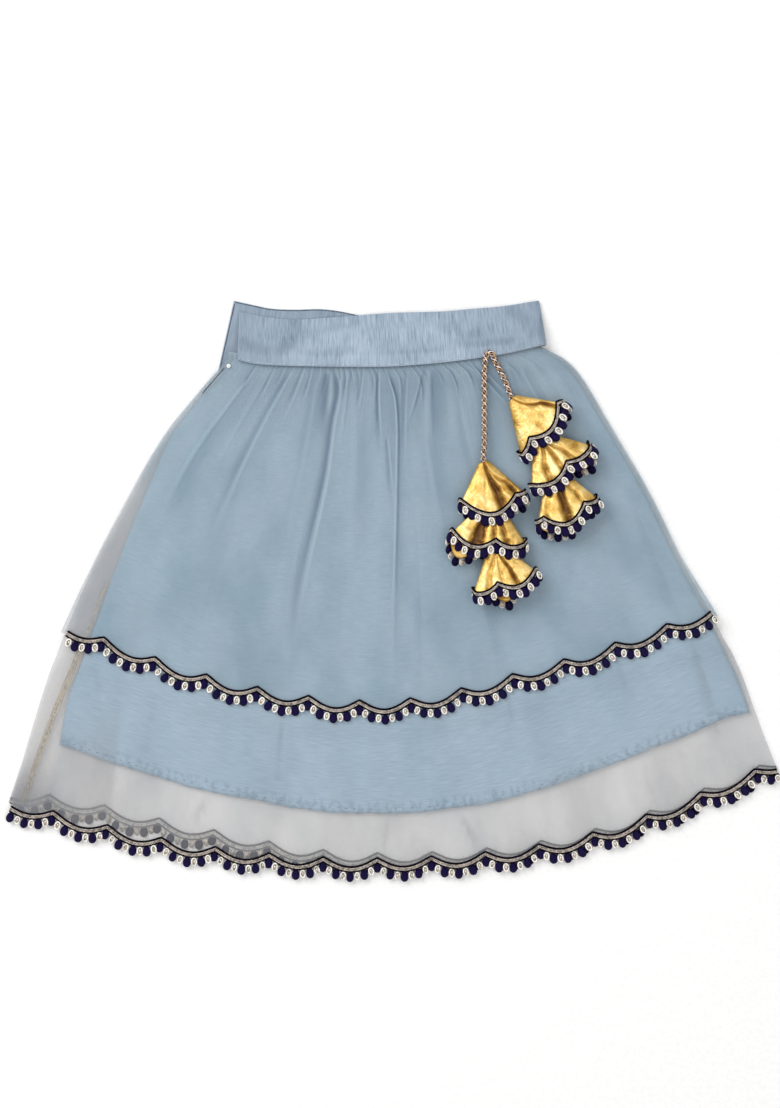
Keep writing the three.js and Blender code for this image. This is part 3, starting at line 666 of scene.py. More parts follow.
def shell_faces(rows, columns, flip=False, ring=False):
    """Faces of a closed wall: an outer grid, an inner one after it, and the strips between them."""
    count = rows * columns
    faces = grid_faces(rows, columns, flip, ring)
    faces += [tuple(i + count for i in f[::-1]) for f in grid_faces(rows, columns, flip, ring)]
    top = list(range(columns)) + ([0] if ring else [])
    bottom = [(rows - 1) * columns + c for c in top]
    edges = [top[::-1], bottom]
    if not ring:
        edges += [[r * columns for r in range(rows)]]
        edges += [[r * columns + columns - 1 for r in range(rows)][::-1]]
    for edge in edges:
        for a, b in zip(edge, edge[1:]):
            face = (b, a, a + count, b + count)
            faces.append(face[::-1] if flip else face)
    return faces


def wall(outer, inner, flip=False, ring=False):
    """Points and faces of a closed wall between two grids of points."""
    points = np.concatenate([outer.reshape(-1, 3), inner.reshape(-1, 3)])
    return points, shell_faces(*outer.shape[:2], flip, ring)


def set_uv(mesh, uv):
    """A UV map from one pair for each vertex."""
    layer = mesh.uv_layers.new(name="UVMap")
    index = np.empty(len(mesh.loops), int)
    mesh.loops.foreach_get("vertex_index", index)
    layer.data.foreach_set("uv", np.asarray(uv, float)[index].ravel())


def joined(name, objects):
    """One object from several, with all their materials."""
    first = objects[0]
    with bpy.context.temp_override(
        object=first, active_object=first, selected_objects=objects, selected_editable_objects=objects
    ):
        bpy.ops.object.join()
    first.name = name
    first.data.name = name
    return first


# ------------------------------------------------------------------------------------------------
# Node trees.


class Nodes:
    """A node tree whose nodes are added one at a time, with their inputs given by name."""

    def __init__(self, tree):
        self.tree = tree

    def join(self, value, socket):
        if isinstance(value, bpy.types.NodeSocket):
            self.tree.links.new(value, socket)
        else:
            socket.default_value = value

    def node(self, kind, settings=None, **inputs):
        node = self.tree.nodes.new(kind)
        for key, value in (settings or {}).items():
            setattr(node, key, value)
        for label, value in inputs.items():
            self.join(value, node.inputs[label.replace("_", " ")])
        return node

    def read(self, output, kind, settings=None, **inputs):
        """One output of a new node."""
        return self.node(kind, settings, **inputs).outputs[output]

    def math(self, operation, a, b=0.0):
        node = self.node("ShaderNodeMath", {"operation": operation})
        self.join(a, node.inputs[0])
        self.join(b, node.inputs[1])
        return node.outputs["Value"]

    def times(self, a, b):
        return self.math("MULTIPLY", a, b)

    def total(self, *parts):
        """The sum of its parts, each one a value or (value, share)."""
        values = [self.times(*part) if isinstance(part, tuple) else part for part in parts]
        summed = values[0]
        for value in values[1:]:
            summed = self.math("ADD", summed, value)
        return summed


# ------------------------------------------------------------------------------------------------
# Materials.


class Finish(Nodes):
    """A material whose nodes lead to one shader."""

    def __init__(self, name):
        self.material = bpy.data.materials.new(name)
        self.material.use_nodes = True
        super().__init__(self.material.node_tree)

    def done(self, **inputs):
        """The material, with its shader's inputs given."""
        shader = self.tree.nodes["Principled BSDF"]
        for label, value in inputs.items():
            self.join(value, shader.inputs[label.replace("_", " ")])
        return self.material

    def coordinates(self, output, scale=(1, 1, 1)):
        source = self.read(output, "ShaderNodeTexCoord")
        return self.read("Vector", "ShaderNodeMapping", Vector=source, Scale=scale)

    def noise(self, vector, scale, detail=3.0):
        return self.read("Fac", "ShaderNodeTexNoise", Vector=vector, Scale=scale, Detail=detail)

    def weave(self, across, along, detail):
        """Noise on the piece's own UV map, with so many cells to a metre across and along."""
        return self.noise(self.coordinates("UV", (across, along, 1)), 1.0, detail)

    def uv_part(self, axis):
        """How far across, X, or up, Y, each point is on the piece's UV map, in metres."""
        return self.read(axis, "ShaderNodeSeparateXYZ", Vector=self.coordinates("UV"))

    def spread(self, value, low, high, start=0.0, end=1.0):
        """A value stretched from low..high to start..end."""
        sizes = {"From_Min": low, "From_Max": high, "To_Min": start, "To_Max": end}
        return self.read("Result", "ShaderNodeMapRange", Value=value, **sizes)

    def colours(self, value, *stops):
        """A colour ramp: stops are (place, colour)."""
        ramp_node = self.node("ShaderNodeValToRGB", Fac=value)
        elements = ramp_node.color_ramp.elements
        while len(elements) < len(stops):
            elements.new(0.5)
        for element, (place, colour) in zip(elements, stops):
            element.position = place
            element.color = (*colour, 1)
        return ramp_node.outputs["Color"]

    def blend(self, share, a, b):
        """Colour a, with a share of colour b in it."""
        node = self.node("ShaderNodeMix", {"data_type": "RGBA"})
        self.join(share, node.inputs[0])
        for colour, socket in ((a, node.inputs[6]), (b, node.inputs[7])):
            self.join((*colour, 1) if isinstance(colour, tuple) else colour, socket)
        return node.outputs[2]

    def bump(self, height, strength, distance):
        return self.read("Normal", "ShaderNodeBump", Height=height, Strength=strength, Distance=distance)

    def attribute(self, name):
        return self.read("Fac", "ShaderNodeAttribute", {"attribute_name": name})


def tinted(colour, *factors):
    """A colour times one factor, or times one for each channel, and no brighter than 1."""
    return tuple(min(f * c, 1) for f, c in zip(factors * (3 // len(factors)), colour))


def soft_net(name, veil, bare, cover, cloud):
    """Fine net: a pale veil, denser in its folds and with shade painted there, a painted highlight on its
    ridges, and greyer beyond the lining.
    """
    finish = Finish(name)
    crowd, ridge_highlight = finish.attribute("crowd"), finish.attribute("ridge_highlight")
    # fold: how much shade is painted on the net and how much denser it is, from its folds, from fine gathers
    # near the seam and from a slow random drift
    gathers = finish.spread(finish.weave(520, 7, 2.0), 0.46, 0.6)
    near_seam = finish.spread(finish.uv_part("Y"), -0.07, 0.0)
    drift = finish.spread(finish.weave(26, 9, 3.0), 0.32, 0.68, -0.075, 0.075)
    fold = finish.total(crowd, (finish.times(near_seam, gathers), 0.42), drift)
    fold = finish.math("MINIMUM", fold, 1.0)
    clouds = finish.spread(finish.weave(20, 12, 4.0), 0.42, 0.64)
    colour = finish.blend(clouds, veil, tinted(veil, 0.78, 0.83, 0.86))
    colour = finish.blend(finish.attribute("bare"), colour, bare)
    # painted highlight on the crests beside the folds
    colour = finish.blend(finish.times(ridge_highlight, 0.8), colour, tinted(veil, 1.2))
    # painted shade in the folds, where the net is also denser, as its alpha below shows
    colour = finish.blend(finish.times(fold, 0.9), colour, tinted(veil, 0.3, 0.34, 0.42))
    return finish.done(
        Base_Color=colour,
        Alpha=finish.total((fold, 0.5), (ridge_highlight, 0.2), (clouds, cloud), cover),
        Roughness=0.75,
        Sheen_Weight=0.2,
        Sheen_Roughness=0.5,
        Specular_IOR_Level=0.25,
    )


def slub_lining():
    """Light blue lining with uneven weft threads across it, puckered along its hem, with shade painted into
    its creases and its puckers.
    """
    finish = Finish("slub lining")
    tone = finish.total((finish.weave(70, 1100, 4.0), 0.8), (finish.weave(1800, 1800, 1.0), 0.2))
    tugs = finish.spread(finish.weave(190, 110, 2.0), 0.46, 0.62)
    # painted shade in the puckers along the hem, added to the painted shade of the lining's creases
    puckers = finish.times(finish.spread(finish.uv_part("Y"), -0.3675, -0.3735), tugs)
    crowd = finish.total(finish.attribute("crowd"), (puckers, 0.7))
    tone = finish.math("SUBTRACT", tone, finish.times(puckers, 0.1))
    colour = finish.colours(
        tone,
        (0.3, (0.26, 0.405, 0.53)),
        (0.5, (0.335, 0.48, 0.605)),
        (0.72, (0.43, 0.575, 0.7)),
    )
    # the base colour has painted shade where the lining is creased or puckered
    return finish.done(
        Base_Color=finish.blend(finish.times(crowd, 0.55), colour, (0.14, 0.23, 0.34)),
        Normal=finish.bump(tone, 0.4, 0.0005),
        Roughness=0.7,
        Sheen_Weight=0.15,
        Specular_IOR_Level=0.3,
    )


def slub_silk():
    """Pale blue silk with short uneven slubs up and down it, a painted highlight on the folded strip at its
    foot, and painted shade in its dents and towards its two ends.
    """
    finish = Finish("slub silk")
    slubs, fine = finish.weave(1000, 60, 4.0), finish.weave(2400, 160, 2.0)
    tone = finish.total((slubs, 0.5), (fine, 0.22), (finish.weave(30, 26, 2.0), 0.28))
    colour = finish.colours(
        tone,
        (0.37, (0.13, 0.19, 0.265)),
        (0.45, (0.25, 0.325, 0.41)),
        (0.53, (0.32, 0.4, 0.49)),
        (0.65, (0.44, 0.525, 0.61)),
    )
    # painted highlight on the folded strip at the band's foot
    strip = finish.spread(finish.uv_part("Y"), 0.0105, 0.0092, 0.0, 0.1)
    colour = finish.blend(strip, colour, (0.46, 0.55, 0.65))
    # painted shade in the band's dents
    colour = finish.blend(finish.times(finish.attribute("crowd"), 0.3), colour, (0.11, 0.155, 0.22))
    # painted shade towards the band's two ends
    across = finish.uv_part("X")
    end_shade = finish.math("MAXIMUM", finish.spread(across, -0.03, -0.13), finish.spread(across, 0.05, 0.13))
    return finish.done(
        Base_Color=finish.blend(finish.times(end_shade, 0.4), colour, (0.15, 0.2, 0.26)),
        Normal=finish.bump(tone, 0.4, 0.0006),
        Roughness=0.5,
        Sheen_Weight=0.2,
        Sheen_Roughness=0.35,
        Specular_IOR_Level=0.4,
    )


THREAD_TWIST = 2600.0


def thread(name, colour, metallic, roughness, shine=0.5):
    """Twisted thread, with fine ridges across it."""
    finish = Finish(name)
    place = finish.coordinates("Object")
    tone = finish.noise(place, THREAD_TWIST / 6, 2.0)
    ridges = finish.noise(place, THREAD_TWIST, 1.0)
    stops = ((0.34, tinted(colour, 0.45)), (0.5, colour), (0.66, tinted(colour, 1.3)))
    return finish.done(
        Base_Color=finish.colours(tone, *stops),
        Normal=finish.bump(ridges, 0.5, 0.0002),
        Roughness=roughness,
        Metallic=metallic,
        Specular_IOR_Level=shine,
    )


def satin_stitch(name, colour):
    """Close parallel stitches with a silky light along them, and shade painted between them."""
    finish = Finish(name)
    place = finish.coordinates("UV", (1, 9, 1))
    ridges = finish.read("Fac", "ShaderNodeTexWave", {"bands_direction": "Y"}, Vector=place, Scale=1.0)
    return finish.done(
        Base_Color=finish.colours(ridges, (0.0, tinted(colour, 0.35)), (1.0, colour)),
        Normal=finish.bump(ridges, 0.6, 0.0002),
        Roughness=0.5,
        Specular_IOR_Level=0.1,
    )


def gold_lame():
    """Crinkled gold cloth: bright faces between soft creases, with shade painted into its crinkles and its
    tiers' creases, and a painted highlight on crumpled ridges.
    """
    finish = Finish("gold lame")
    place = finish.coordinates("Object")
    crinkle, grain = finish.noise(place, 150.0, 5.0), finish.noise(place, 1500.0, 2.0)
    valleys = finish.math("ABSOLUTE", finish.math("SUBTRACT", finish.noise(place, 230.0), 0.5))
    height = finish.total(crinkle, (grain, 0.14), (valleys, 0.8))
    clouds = finish.spread(finish.noise(place, 60.0), 0.3, 0.7, 0.4, 0.64)
    specks = finish.spread(finish.noise(place, 520.0, 4.0), 0.3, 0.7, -0.025, 0.035)
    # painted shade in the tier's creases, and a painted highlight where its cloth is crumpled up
    tone = finish.math("SUBTRACT", clouds, finish.times(finish.attribute("crowd"), 0.42))
    tone = finish.total(tone, specks)
    # painted shade in the crinkle valleys
    tone = finish.math("SUBTRACT", tone, finish.spread(valleys, 0.0, 0.025, 0.09, 0.0))
    colour = finish.colours(
        tone,
        (0.14, (0.11, 0.045, 0.008)),
        (0.3, (0.4, 0.2, 0.03)),
        (0.43, (0.68, 0.42, 0.1)),
        (0.54, (0.85, 0.57, 0.19)),
        (0.68, (0.97, 0.8, 0.4)),
    )
    normal = finish.bump(height, 0.55, 0.0018)
    return finish.done(Base_Color=colour, Normal=normal, Roughness=0.38, Metallic=0.7)


def plain(name, colour, roughness):
    finish = Finish(name)
    tone = finish.noise(finish.coordinates("Object"), 300.0, 2.0)
    shades = finish.colours(tone, (0.3, colour), (0.7, tinted(colour, 1.06)))
    return finish.done(Base_Color=shades, Roughness=roughness)


def make_materials():
    return {
        "upper_net": soft_net("upper net", (0.41, 0.53, 0.61), (0.46, 0.505, 0.55), 0.26, 0.12),
        "long_net": soft_net("long net", (0.48, 0.475, 0.48), (0.48, 0.475, 0.48), 0.26, 0.02),
        "lining": slub_lining(),
        "silk": slub_silk(),
        "edge_cord": thread("edge cord", (0.004, 0.003, 0.008), 0.0, 0.8, shine=0.03),
        "lace_back": thread("lace back", (0.5, 0.48, 0.44), 0.0, 0.7),
        "cord_core": thread("cord core", (0.05, 0.025, 0.02), 0.0, 0.8, shine=0.12),
        "zari": thread("zari braid", (0.7, 0.62, 0.54), 0.4, 0.35),
        "zari_ground": thread("zari ground", (0.1, 0.075, 0.075), 0.2, 0.5),
        "indigo": satin_stitch("indigo satin stitch", (0.01, 0.004, 0.062)),
        "silver": thread("silver loops", (1.0, 0.95, 0.86), 0.1, 0.4),
        "silver_ground": thread("silver ground", (0.5, 0.43, 0.36), 0.3, 0.5),
        "lame": gold_lame(),
        "gold_ply": thread("gold ply", (0.6, 0.38, 0.23), 0.5, 0.4),
        "copper_ply": thread("copper ply", (0.08, 0.03, 0.028), 0.4, 0.45),
        "white_ply": thread("white ply", (1.0, 0.9, 0.84), 0.1, 0.45),
        "overlock": thread("overlock thread", (0.5, 0.4, 0.24), 0.0, 0.7),
        "sewing": thread("sewing thread", (0.5, 0.58, 0.66), 0.0, 0.6),
        "hem_sewing": thread("hem thread", (0.16, 0.24, 0.31), 0.0, 0.7),
        # dark thread for the opening's seam, which also stands in for the shadow along it
        "seam": thread("seam thread", (0.1, 0.13, 0.165), 0.0, 0.8, shine=0.2),
        "snap": plain("snap plastic", (0.82, 0.85, 0.86), 0.25),
        "table": plain("table", (0.9, 0.895, 0.89), 0.9),
    }


# ------------------------------------------------------------------------------------------------
# Geometry Nodes trees.


class Tree(Nodes):
    """A Geometry Nodes tree with named inputs. Its first input is a path drawn as a mesh line.

    Each input is given by its default number, or by the kind of its socket.
    """

    def __init__(self, name, **inputs):
        super().__init__(bpy.data.node_groups.new(name, "GeometryNodeTree"))
        face = self.tree.interface
        for label, given in {"Path": "Geometry", **inputs, "Material": "Material"}.items():
            kind = given if isinstance(given, str) else type(given).__name__.title()
            socket = face.new_socket(
                name=label.replace("_", " "), in_out="INPUT", socket_type="NodeSocket" + kind
            )
            if kind != given:
                socket.default_value = given
        face.new_socket(name="Piece", in_out="OUTPUT", socket_type="NodeSocketGeometry")
        self.start = self.tree.nodes.new("NodeGroupInput")
        self.end = self.tree.nodes.new("NodeGroupOutput")

    def given(self, label):
        return self.start.outputs[label]

    def vector(self, operation, a, b):
        node = self.node("ShaderNodeVectorMath", {"operation": operation})
        self.join(a, node.inputs[0])
        self.join(b, node.inputs["Scale"] if operation == "SCALE" else node.inputs[1])
        return node.outputs["Vector"]

    def direction(self, name):
        kind = {"data_type": "FLOAT_VECTOR"}
        return self.read("Attribute", "GeometryNodeInputNamedAttribute", kind, Name=name)

    def path(self):
        """The path as a curve."""
        return self.read("Curve", "GeometryNodeMeshToCurve", Mesh=self.given("Path"))

    def even(self, curve):
        """A curve of Count points, evenly spaced."""
        kind = {"mode": "COUNT"}
        return self.read(
            "Curve", "GeometryNodeResampleCurve", kind, Curve=curve, Count=self.given("Count")
        )

    def offset(self, geometry, offset):
        return self.read("Geometry", "GeometryNodeSetPosition", Geometry=geometry, Offset=offset)

    def moved(self, curve):
        """The path, moved along its hang and its face."""
        hang = self.vector("SCALE", self.direction("hang"), self.given("Hang"))
        lift = self.vector("SCALE", self.direction("face"), self.given("Lift"))
        return self.offset(curve, self.vector("ADD", hang, lift))

    def tube(self, curve, sides):
        """A closed round tube along a curve, as thick as the tree's Thickness."""
        radius = self.times(self.given("Thickness"), 0.5)
        ring = self.read("Curve", "GeometryNodeCurvePrimitiveCircle", Resolution=sides, Radius=radius)
        return self.read(
            "Mesh", "GeometryNodeCurveToMesh", Curve=curve, Profile_Curve=ring, Fill_Caps=True
        )

    def finish(self, geometry):
        real = self.read("Geometry", "GeometryNodeRealizeInstances", Geometry=geometry)
        smooth = self.read("Geometry", "GeometryNodeSetShadeSmooth", Geometry=real)
        dressed = self.node("GeometryNodeSetMaterial", Geometry=smooth, Material=self.given("Material"))
        self.join(dressed.outputs["Geometry"], self.end.inputs["Piece"])
        return self.tree


def row_of_pieces():
    """Sets one small piece along a path: at its own points, or Count times evenly."""
    sizes = {"Count": 0, "Hang": 0.0, "Lift": 0.0, "Turn": 0.0, "Unevenness": 0.05, "Seed": 3}
    tree = Tree("row of pieces", Each="Object", **sizes)
    curve = tree.path()
    spread = tree.node("GeometryNodeSwitch", {"input_type": "GEOMETRY"}, Switch=tree.given("Count"))
    tree.join(curve, spread.inputs["False"])
    tree.join(tree.even(curve), spread.inputs["True"])
    facing = tree.read(
        "Rotation",
        "FunctionNodeAxesToRotation",
        {"primary_axis": "Z", "secondary_axis": "Y"},
        Primary_Axis=tree.direction("face"),
        Secondary_Axis=tree.vector("SCALE", tree.direction("hang"), -1.0),
    )
    jitter = tree.node("FunctionNodeRandomValue", {"data_type": "FLOAT"}, Seed=tree.given("Seed"))
    tree.join(tree.times(tree.given("Unevenness"), -1.0), jitter.inputs[2])
    tree.join(tree.given("Unevenness"), jitter.inputs[3])
    chance = jitter.outputs[1]
    angle = tree.total(tree.given("Turn"), (chance, 2.0))
    turned = tree.read(
        "Rotation",
        "FunctionNodeRotateRotation",
        {"rotation_space": "LOCAL"},
        Rotation=facing,
        Rotate_By=tree.read("Rotation", "FunctionNodeAxisAngleToRotation", Axis=(0, 0, 1), Angle=angle),
    )
    each = tree.read("Geometry", "GeometryNodeObjectInfo", Object=tree.given("Each"), As_Instance=True)
    row = tree.read(
        "Instances",
        "GeometryNodeInstanceOnPoints",
        Points=tree.moved(spread.outputs["Output"]),
        Instance=each,
        Rotation=turned,
        Scale=tree.math("ADD", chance, 1.0),
    )
    return tree.finish(row)


def laid_cord():
    """Lays one round thread along a path."""
    tree = Tree("laid cord", Thickness=0.001, Hang=0.0, Lift=0.0, Sides=6)
    return tree.finish(tree.tube(tree.moved(tree.path()), tree.given("Sides")))


def plaited_plies():
    """Winds plies round a path, each one going over and under the others."""
    tree = Tree(
        "plaited plies",
        Plies=4,
        Turns=10.0,
        Phase=0.0,
        Radius=0.0018,
        Weave=0.0004,
        Over_and_under=2.0,
        Thickness=0.0014,
        Count=300,
    )
    copies = tree.node(
        "GeometryNodeDuplicateElements",
        {"domain": "SPLINE"},
        Geometry=tree.even(tree.path()),
        Amount=tree.given("Plies"),
    )
    along = tree.read("Factor", "GeometryNodeSplineParameter")
    ply = tree.math("DIVIDE", copies.outputs["Duplicate Index"], tree.given("Plies"))
    angle = tree.times(tree.total((along, tree.given("Turns")), ply, tree.given("Phase")), math.tau)
    weave = tree.math("SINE", tree.times(angle, tree.given("Over and under")))
    reach = tree.total(tree.given("Radius"), (weave, tree.given("Weave")))
    normal = tree.read("Normal", "GeometryNodeInputNormal")
    tangent = tree.read("Tangent", "GeometryNodeInputTangent")
    beside = tree.vector("CROSS_PRODUCT", tangent, normal)
    offset = tree.vector(
        "ADD",
        tree.vector("SCALE", normal, tree.times(tree.math("COSINE", angle), reach)),
        tree.vector("SCALE", beside, tree.times(tree.math("SINE", angle), reach)),
    )
    return tree.finish(tree.tube(tree.offset(copies.outputs["Geometry"], offset), 6))


def path_object(points, hang, face):
    """A mesh line through points in metres, with the way that things hang from it and face."""
    mesh = bpy.data.meshes.new("path")
    mesh.from_pydata([tuple(p) for p in points], [(i, i + 1) for i in range(len(points) - 1)], [])
    for name, values in (("hang", hang), ("face", face)):
        attribute = mesh.attributes.new(name, "FLOAT_VECTOR", "POINT")
        attribute.data.foreach_set("vector", np.array(values, float).ravel())
    return new_object("path", mesh)


def grown(name, tree, path, values):
    """The plain mesh object that a tree makes of a path."""
    start = path_object(*path)
    modifier = start.modifiers.new("grow", "NODES")
    modifier.node_group = tree
    for item in tree.interface.items_tree:
        if item.item_type == "SOCKET" and item.in_out == "INPUT" and item.name in values:
            modifier[item.identifier] = values[item.name]
    bpy.context.view_layer.update()
    depsgraph = bpy.context.evaluated_depsgraph_get()
    mesh = bpy.data.meshes.new_from_object(start.evaluated_get(depsgraph), depsgraph=depsgraph)
    mesh.name = name
    start.modifiers.remove(modifier)
    bpy.data.objects.remove(start)
    return new_object(name, mesh)


# ------------------------------------------------------------------------------------------------
# Small shapes that are set along the lace, about their own origin, hanging down -Y and facing +Z.


def dome(rings, around, top, fuller=0.0):
    """Points and faces of a closed dome: its top, then rings of (half width, half length, height)."""
    angle = math.tau * np.arange(around) / around
    points = [(0.0, 0.0, top)]
    for wide, long, height in rings:
        x = wide * np.cos(angle) * (1 - fuller * np.sin(angle))
        points += zip(x, long * np.sin(angle), [height] * around)
    faces = [(0, 1 + i, 1 + (i + 1) % around) for i in range(around)]
    faces += [tuple(1 + i for i in face) for face in grid_faces(len(rings), around, ring=True)]
    faces.append(tuple(range(len(rings) * around, (len(rings) - 1) * around, -1)))
    return np.array(points), faces


def satin_drop(length, width, tall):
    """A padded oval, fuller below."""
    shares = np.linspace(0.25, 1, 4)
    rings = [(width / 2 * s, length / 2 * s, tall * (1 - s**2.4)) for s in shares]
    points, faces = dome(rings, 14, tall, fuller=0.16)
    return new_piece("satin drop", points * MM, faces, uv=0.5 + points[:, :2] / (width, length))


def thread_loop(length, width, thick):
    """An oval loop of metal thread, with a small knot inside it."""
    around, sides, knot_sides, knot = 14, 5, 6, 0.8
    knot_y = length * 0.06
    points = []
    for angle in math.tau * np.arange(around) / around:
        for turn in math.tau * np.arange(sides) / sides:
            reach = thick / 2 * math.cos(turn)
            x = (width / 2 - thick / 2 + reach) * math.cos(angle)
            y = (length / 2 - thick / 2 + reach) * math.sin(angle)
            points.append((x, y, 0.15 + thick / 2 + thick / 2 * math.sin(turn)))
    top = len(points)
    faces = [tuple(i % top for i in face) for face in grid_faces(around + 1, sides, ring=True)]
    points += [(0, knot_y, knot * 1.4), (0, knot_y, 0)]
    for i in range(knot_sides):
        angle = math.tau * i / knot_sides
        points.append((knot * math.cos(angle), knot_y + 1.5 * knot * math.sin(angle), knot * 0.7))
        a, b = top + 2 + i, top + 2 + (i + 1) % knot_sides
        faces += [(top, a, b), (top + 1, b, a)]
    return new_piece("thread loop", np.array(points) * MM, faces)


def oval_ground(length, width, thick):
    """A thin oval of close stitches that a loop is worked on."""
    points, faces = dome([(width / 2, length / 2, height) for height in (thick, 0)], 12, thick)
    return new_piece("oval ground", points * MM, faces)


def long_stitch(name, length, thick):
    """One lying stitch: a slim bar with rounded ends."""
    ends = [(-0.5, 0.15), (-0.3, 0.5), (0.3, 0.5), (0.5, 0.15)]
    sides = 5
    points = [
        (thick * radius * math.cos(angle), length * place, thick * (0.45 + radius * math.sin(angle)))
        for place, radius in ends
        for angle in math.tau * np.arange(sides) / sides
    ]
    faces = [(a, d, c, b) for a, b, c, d in grid_faces(len(ends), sides, ring=True)]
    faces.append(tuple(range(sides)))
    faces.append(tuple(reversed(range(len(points) - sides, len(points)))))
    return new_piece(name, np.array(points) * MM, faces)


class Workbox:
    """The materials, the trees and the small shapes that the skirt is sewn with."""

    def __init__(self):
        self.finish = make_materials()
        self.row = row_of_pieces()
        self.cord = laid_cord()
        self.plies = plaited_plies()
        self.shapes = {
            "drop": satin_drop(DROP_LENGTH, DROP_WIDTH, DROP_HEIGHT),
            "loop": thread_loop(LOOP_LENGTH, LOOP_WIDTH, LOOP_THREAD),
            "loop_ground": oval_ground(LOOP_LENGTH - 0.8, LOOP_WIDTH - 0.8, LOOP_GROUND),
            "braid_stitch": long_stitch("braid stitch", 2.3, 0.66),
            "fine_stitch": long_stitch("fine stitch", 2.2, 0.5),
            "zigzag_stitch": long_stitch("zigzag stitch", 4.6, 0.6),
        }

    def stitched(self, name, path, shape, material, count=0, hang=0.0, lift=0.0, turn=0.0, **values):
        """A row of one small shape: hang and lift in millimetres, and the turn in degrees."""
        values["Each"] = self.shapes[shape]
        values["Material"] = self.finish[material]
        values["Count"] = count
        values["Turn"] = math.radians(turn)
        return grown(name, self.row, path, {**values, "Hang": hang * MM, "Lift": lift * MM})

    def corded(self, name, path, material, thick, hang=0.0, lift=0.0, sides=6):
        """A round thread, with its sizes in millimetres."""
        sizes = {"Thickness": thick * MM, "Hang": hang * MM, "Lift": lift * MM, "Sides": sides}
        return grown(name, self.cord, path, {**sizes, "Material": self.finish[material]})

    def put_away(self):
        for shape in self.shapes.values():
            bpy.data.objects.remove(shape)


# ------------------------------------------------------------------------------------------------
# The skirt's cloth.


def even_shares(count, bend_share):
    """Shares across a layer, closer together where it bends round at the folds."""
    inner = np.linspace(bend_share, 1 - bend_share, count)
    if not bend_share:
        return inner
    turns = bend_share * (1 - np.sin(np.radians([90, 75, 60, 45, 30, 15])))
    return np.concatenate([turns, inner, 1 - turns[::-1]])


def beyond_lining(down, u, width):
    """How far each point of a net lies past the lining's left seam, from 0 to 1, where it shows there."""
    inset = lining_insets(min(max(down, 0), LINING_HEM))[0]
    return float(ramp(inset, (6, 16))) * ease((inset - u * width) / 4 + 0.5)


def cloth_rows(name, depths, count, out):
    """Points, UV pairs, and the values of a layer that its material reads, row by row."""
    points, uv = [], []
    values = {"crowd": [], "ridge_highlight": [], "bare": []}
    edge = EDGES.get(name)
    hem = depths[-1]
    for down in depths:
        width = plan_line(down)["width"]
        u = even_shares(count, LAYERS[name]["bend"] / width)
        row, _, (crowd, ridge_highlight) = surface(name, down, u, out)
        if edge and down > hem - SCALLOP_REACH:
            clear = ramp(np.minimum(u, 1 - u), (0.004, 0.02)) * float(ramp(down, (hem - SCALLOP_REACH, hem)))
            row[:, 1] -= clear * scallop_drop(u, edge)
        points.append(row)
        uv.append(np.stack([mix(-UV_HALF, UV_HALF, u), np.full_like(u, -down * MM)], -1))
        values["crowd"].append(crowd)
        values["ridge_highlight"].append(ridge_highlight)
        values["bare"].append(beyond_lining(down, u, width))
    return np.array(points), np.concatenate(uv), {k: np.concatenate(v) for k, v in values.items()}


def even_depths(start, end, step, extra=()):
    count = max(2, round((end - start) / step))
    return sorted(set(np.round(np.linspace(start, end, count + 1), 3)) | set(extra))


def net_layer(name, layer, hem, count, step, material):
    """A net panel: one thin face with the net's own weave."""
    depths = even_depths(-TUCK, hem, step, (0.0, hem - SCALLOP_REACH))
    rows, uv, values = cloth_rows(layer, depths, count, CLOTH / 2)
    faces = grid_faces(*rows.shape[:2], LAYERS[layer]["side"] < 0)
    made = new_piece(name + "_cloth", world(rows.reshape(-1, 3)), faces, material, uv=uv, **values)
    return sewn_on(made, name)


def puckered(rows, depths):
    """The lining's rows with the small puckers that its hem stitches pull in its edge."""
    for row, down in zip(rows, depths):
        near = float(ramp(down, (LINING_HEM - 11, LINING_HEM - 4)))
        if near:
            tugs = unevenness(row[:, 0], row[:, 1] * 0.1, 5.5, 4.5)
            row[:, 1] += near * (0.9 * tugs + 1.2 * unevenness(row[:, 0], row[:, 1] * 0, 31, 8.5))
            row[:, 2] += near * 0.12 * (tugs + 0.4)
    return rows


def lining_layer(name, count, step, material):
    """A lining panel: a thin closed wall."""
    depths = even_depths(-TUCK, LINING_HEM, step, (0.0, LINING_HEM - 4.0, LINING_HEM - 8.0))
    outer, uv, values = cloth_rows(name, depths, count, CLOTH / 2)
    inner = cloth_rows(name, depths, count, 0.0)[0]
    points, faces = wall(puckered(outer, depths), puckered(inner, depths), LAYERS[name]["side"] < 0)
    crowd = np.tile(values["crowd"], 2)
    made = new_piece(name + "_cloth", world(points), faces, material, uv=np.tile(uv, (2, 1)), crowd=crowd)
    return sewn_on(made, name)


# ------------------------------------------------------------------------------------------------
# Waistband.


def band_dents(u, share):
    """How deep the front band is dented at one height."""
    wide, tall = 262, 45
    deepest = np.zeros_like(u)
    for dent in BAND_DENTS:
        start = np.array(dent["from"]) * (wide, tall)
        way = np.array(dent["to"]) * (wide, tall) - start
        at = np.stack([u * wide, np.full_like(u, share * tall)], -1) - start
        along = np.clip(at @ way / (way @ way), 0, 1)
        away = np.linalg.norm(at - along[:, None] * way, axis=1)
        deepest = np.maximum(deepest, dent["deep"] * trough(away, dent["reach"]))
    return deepest


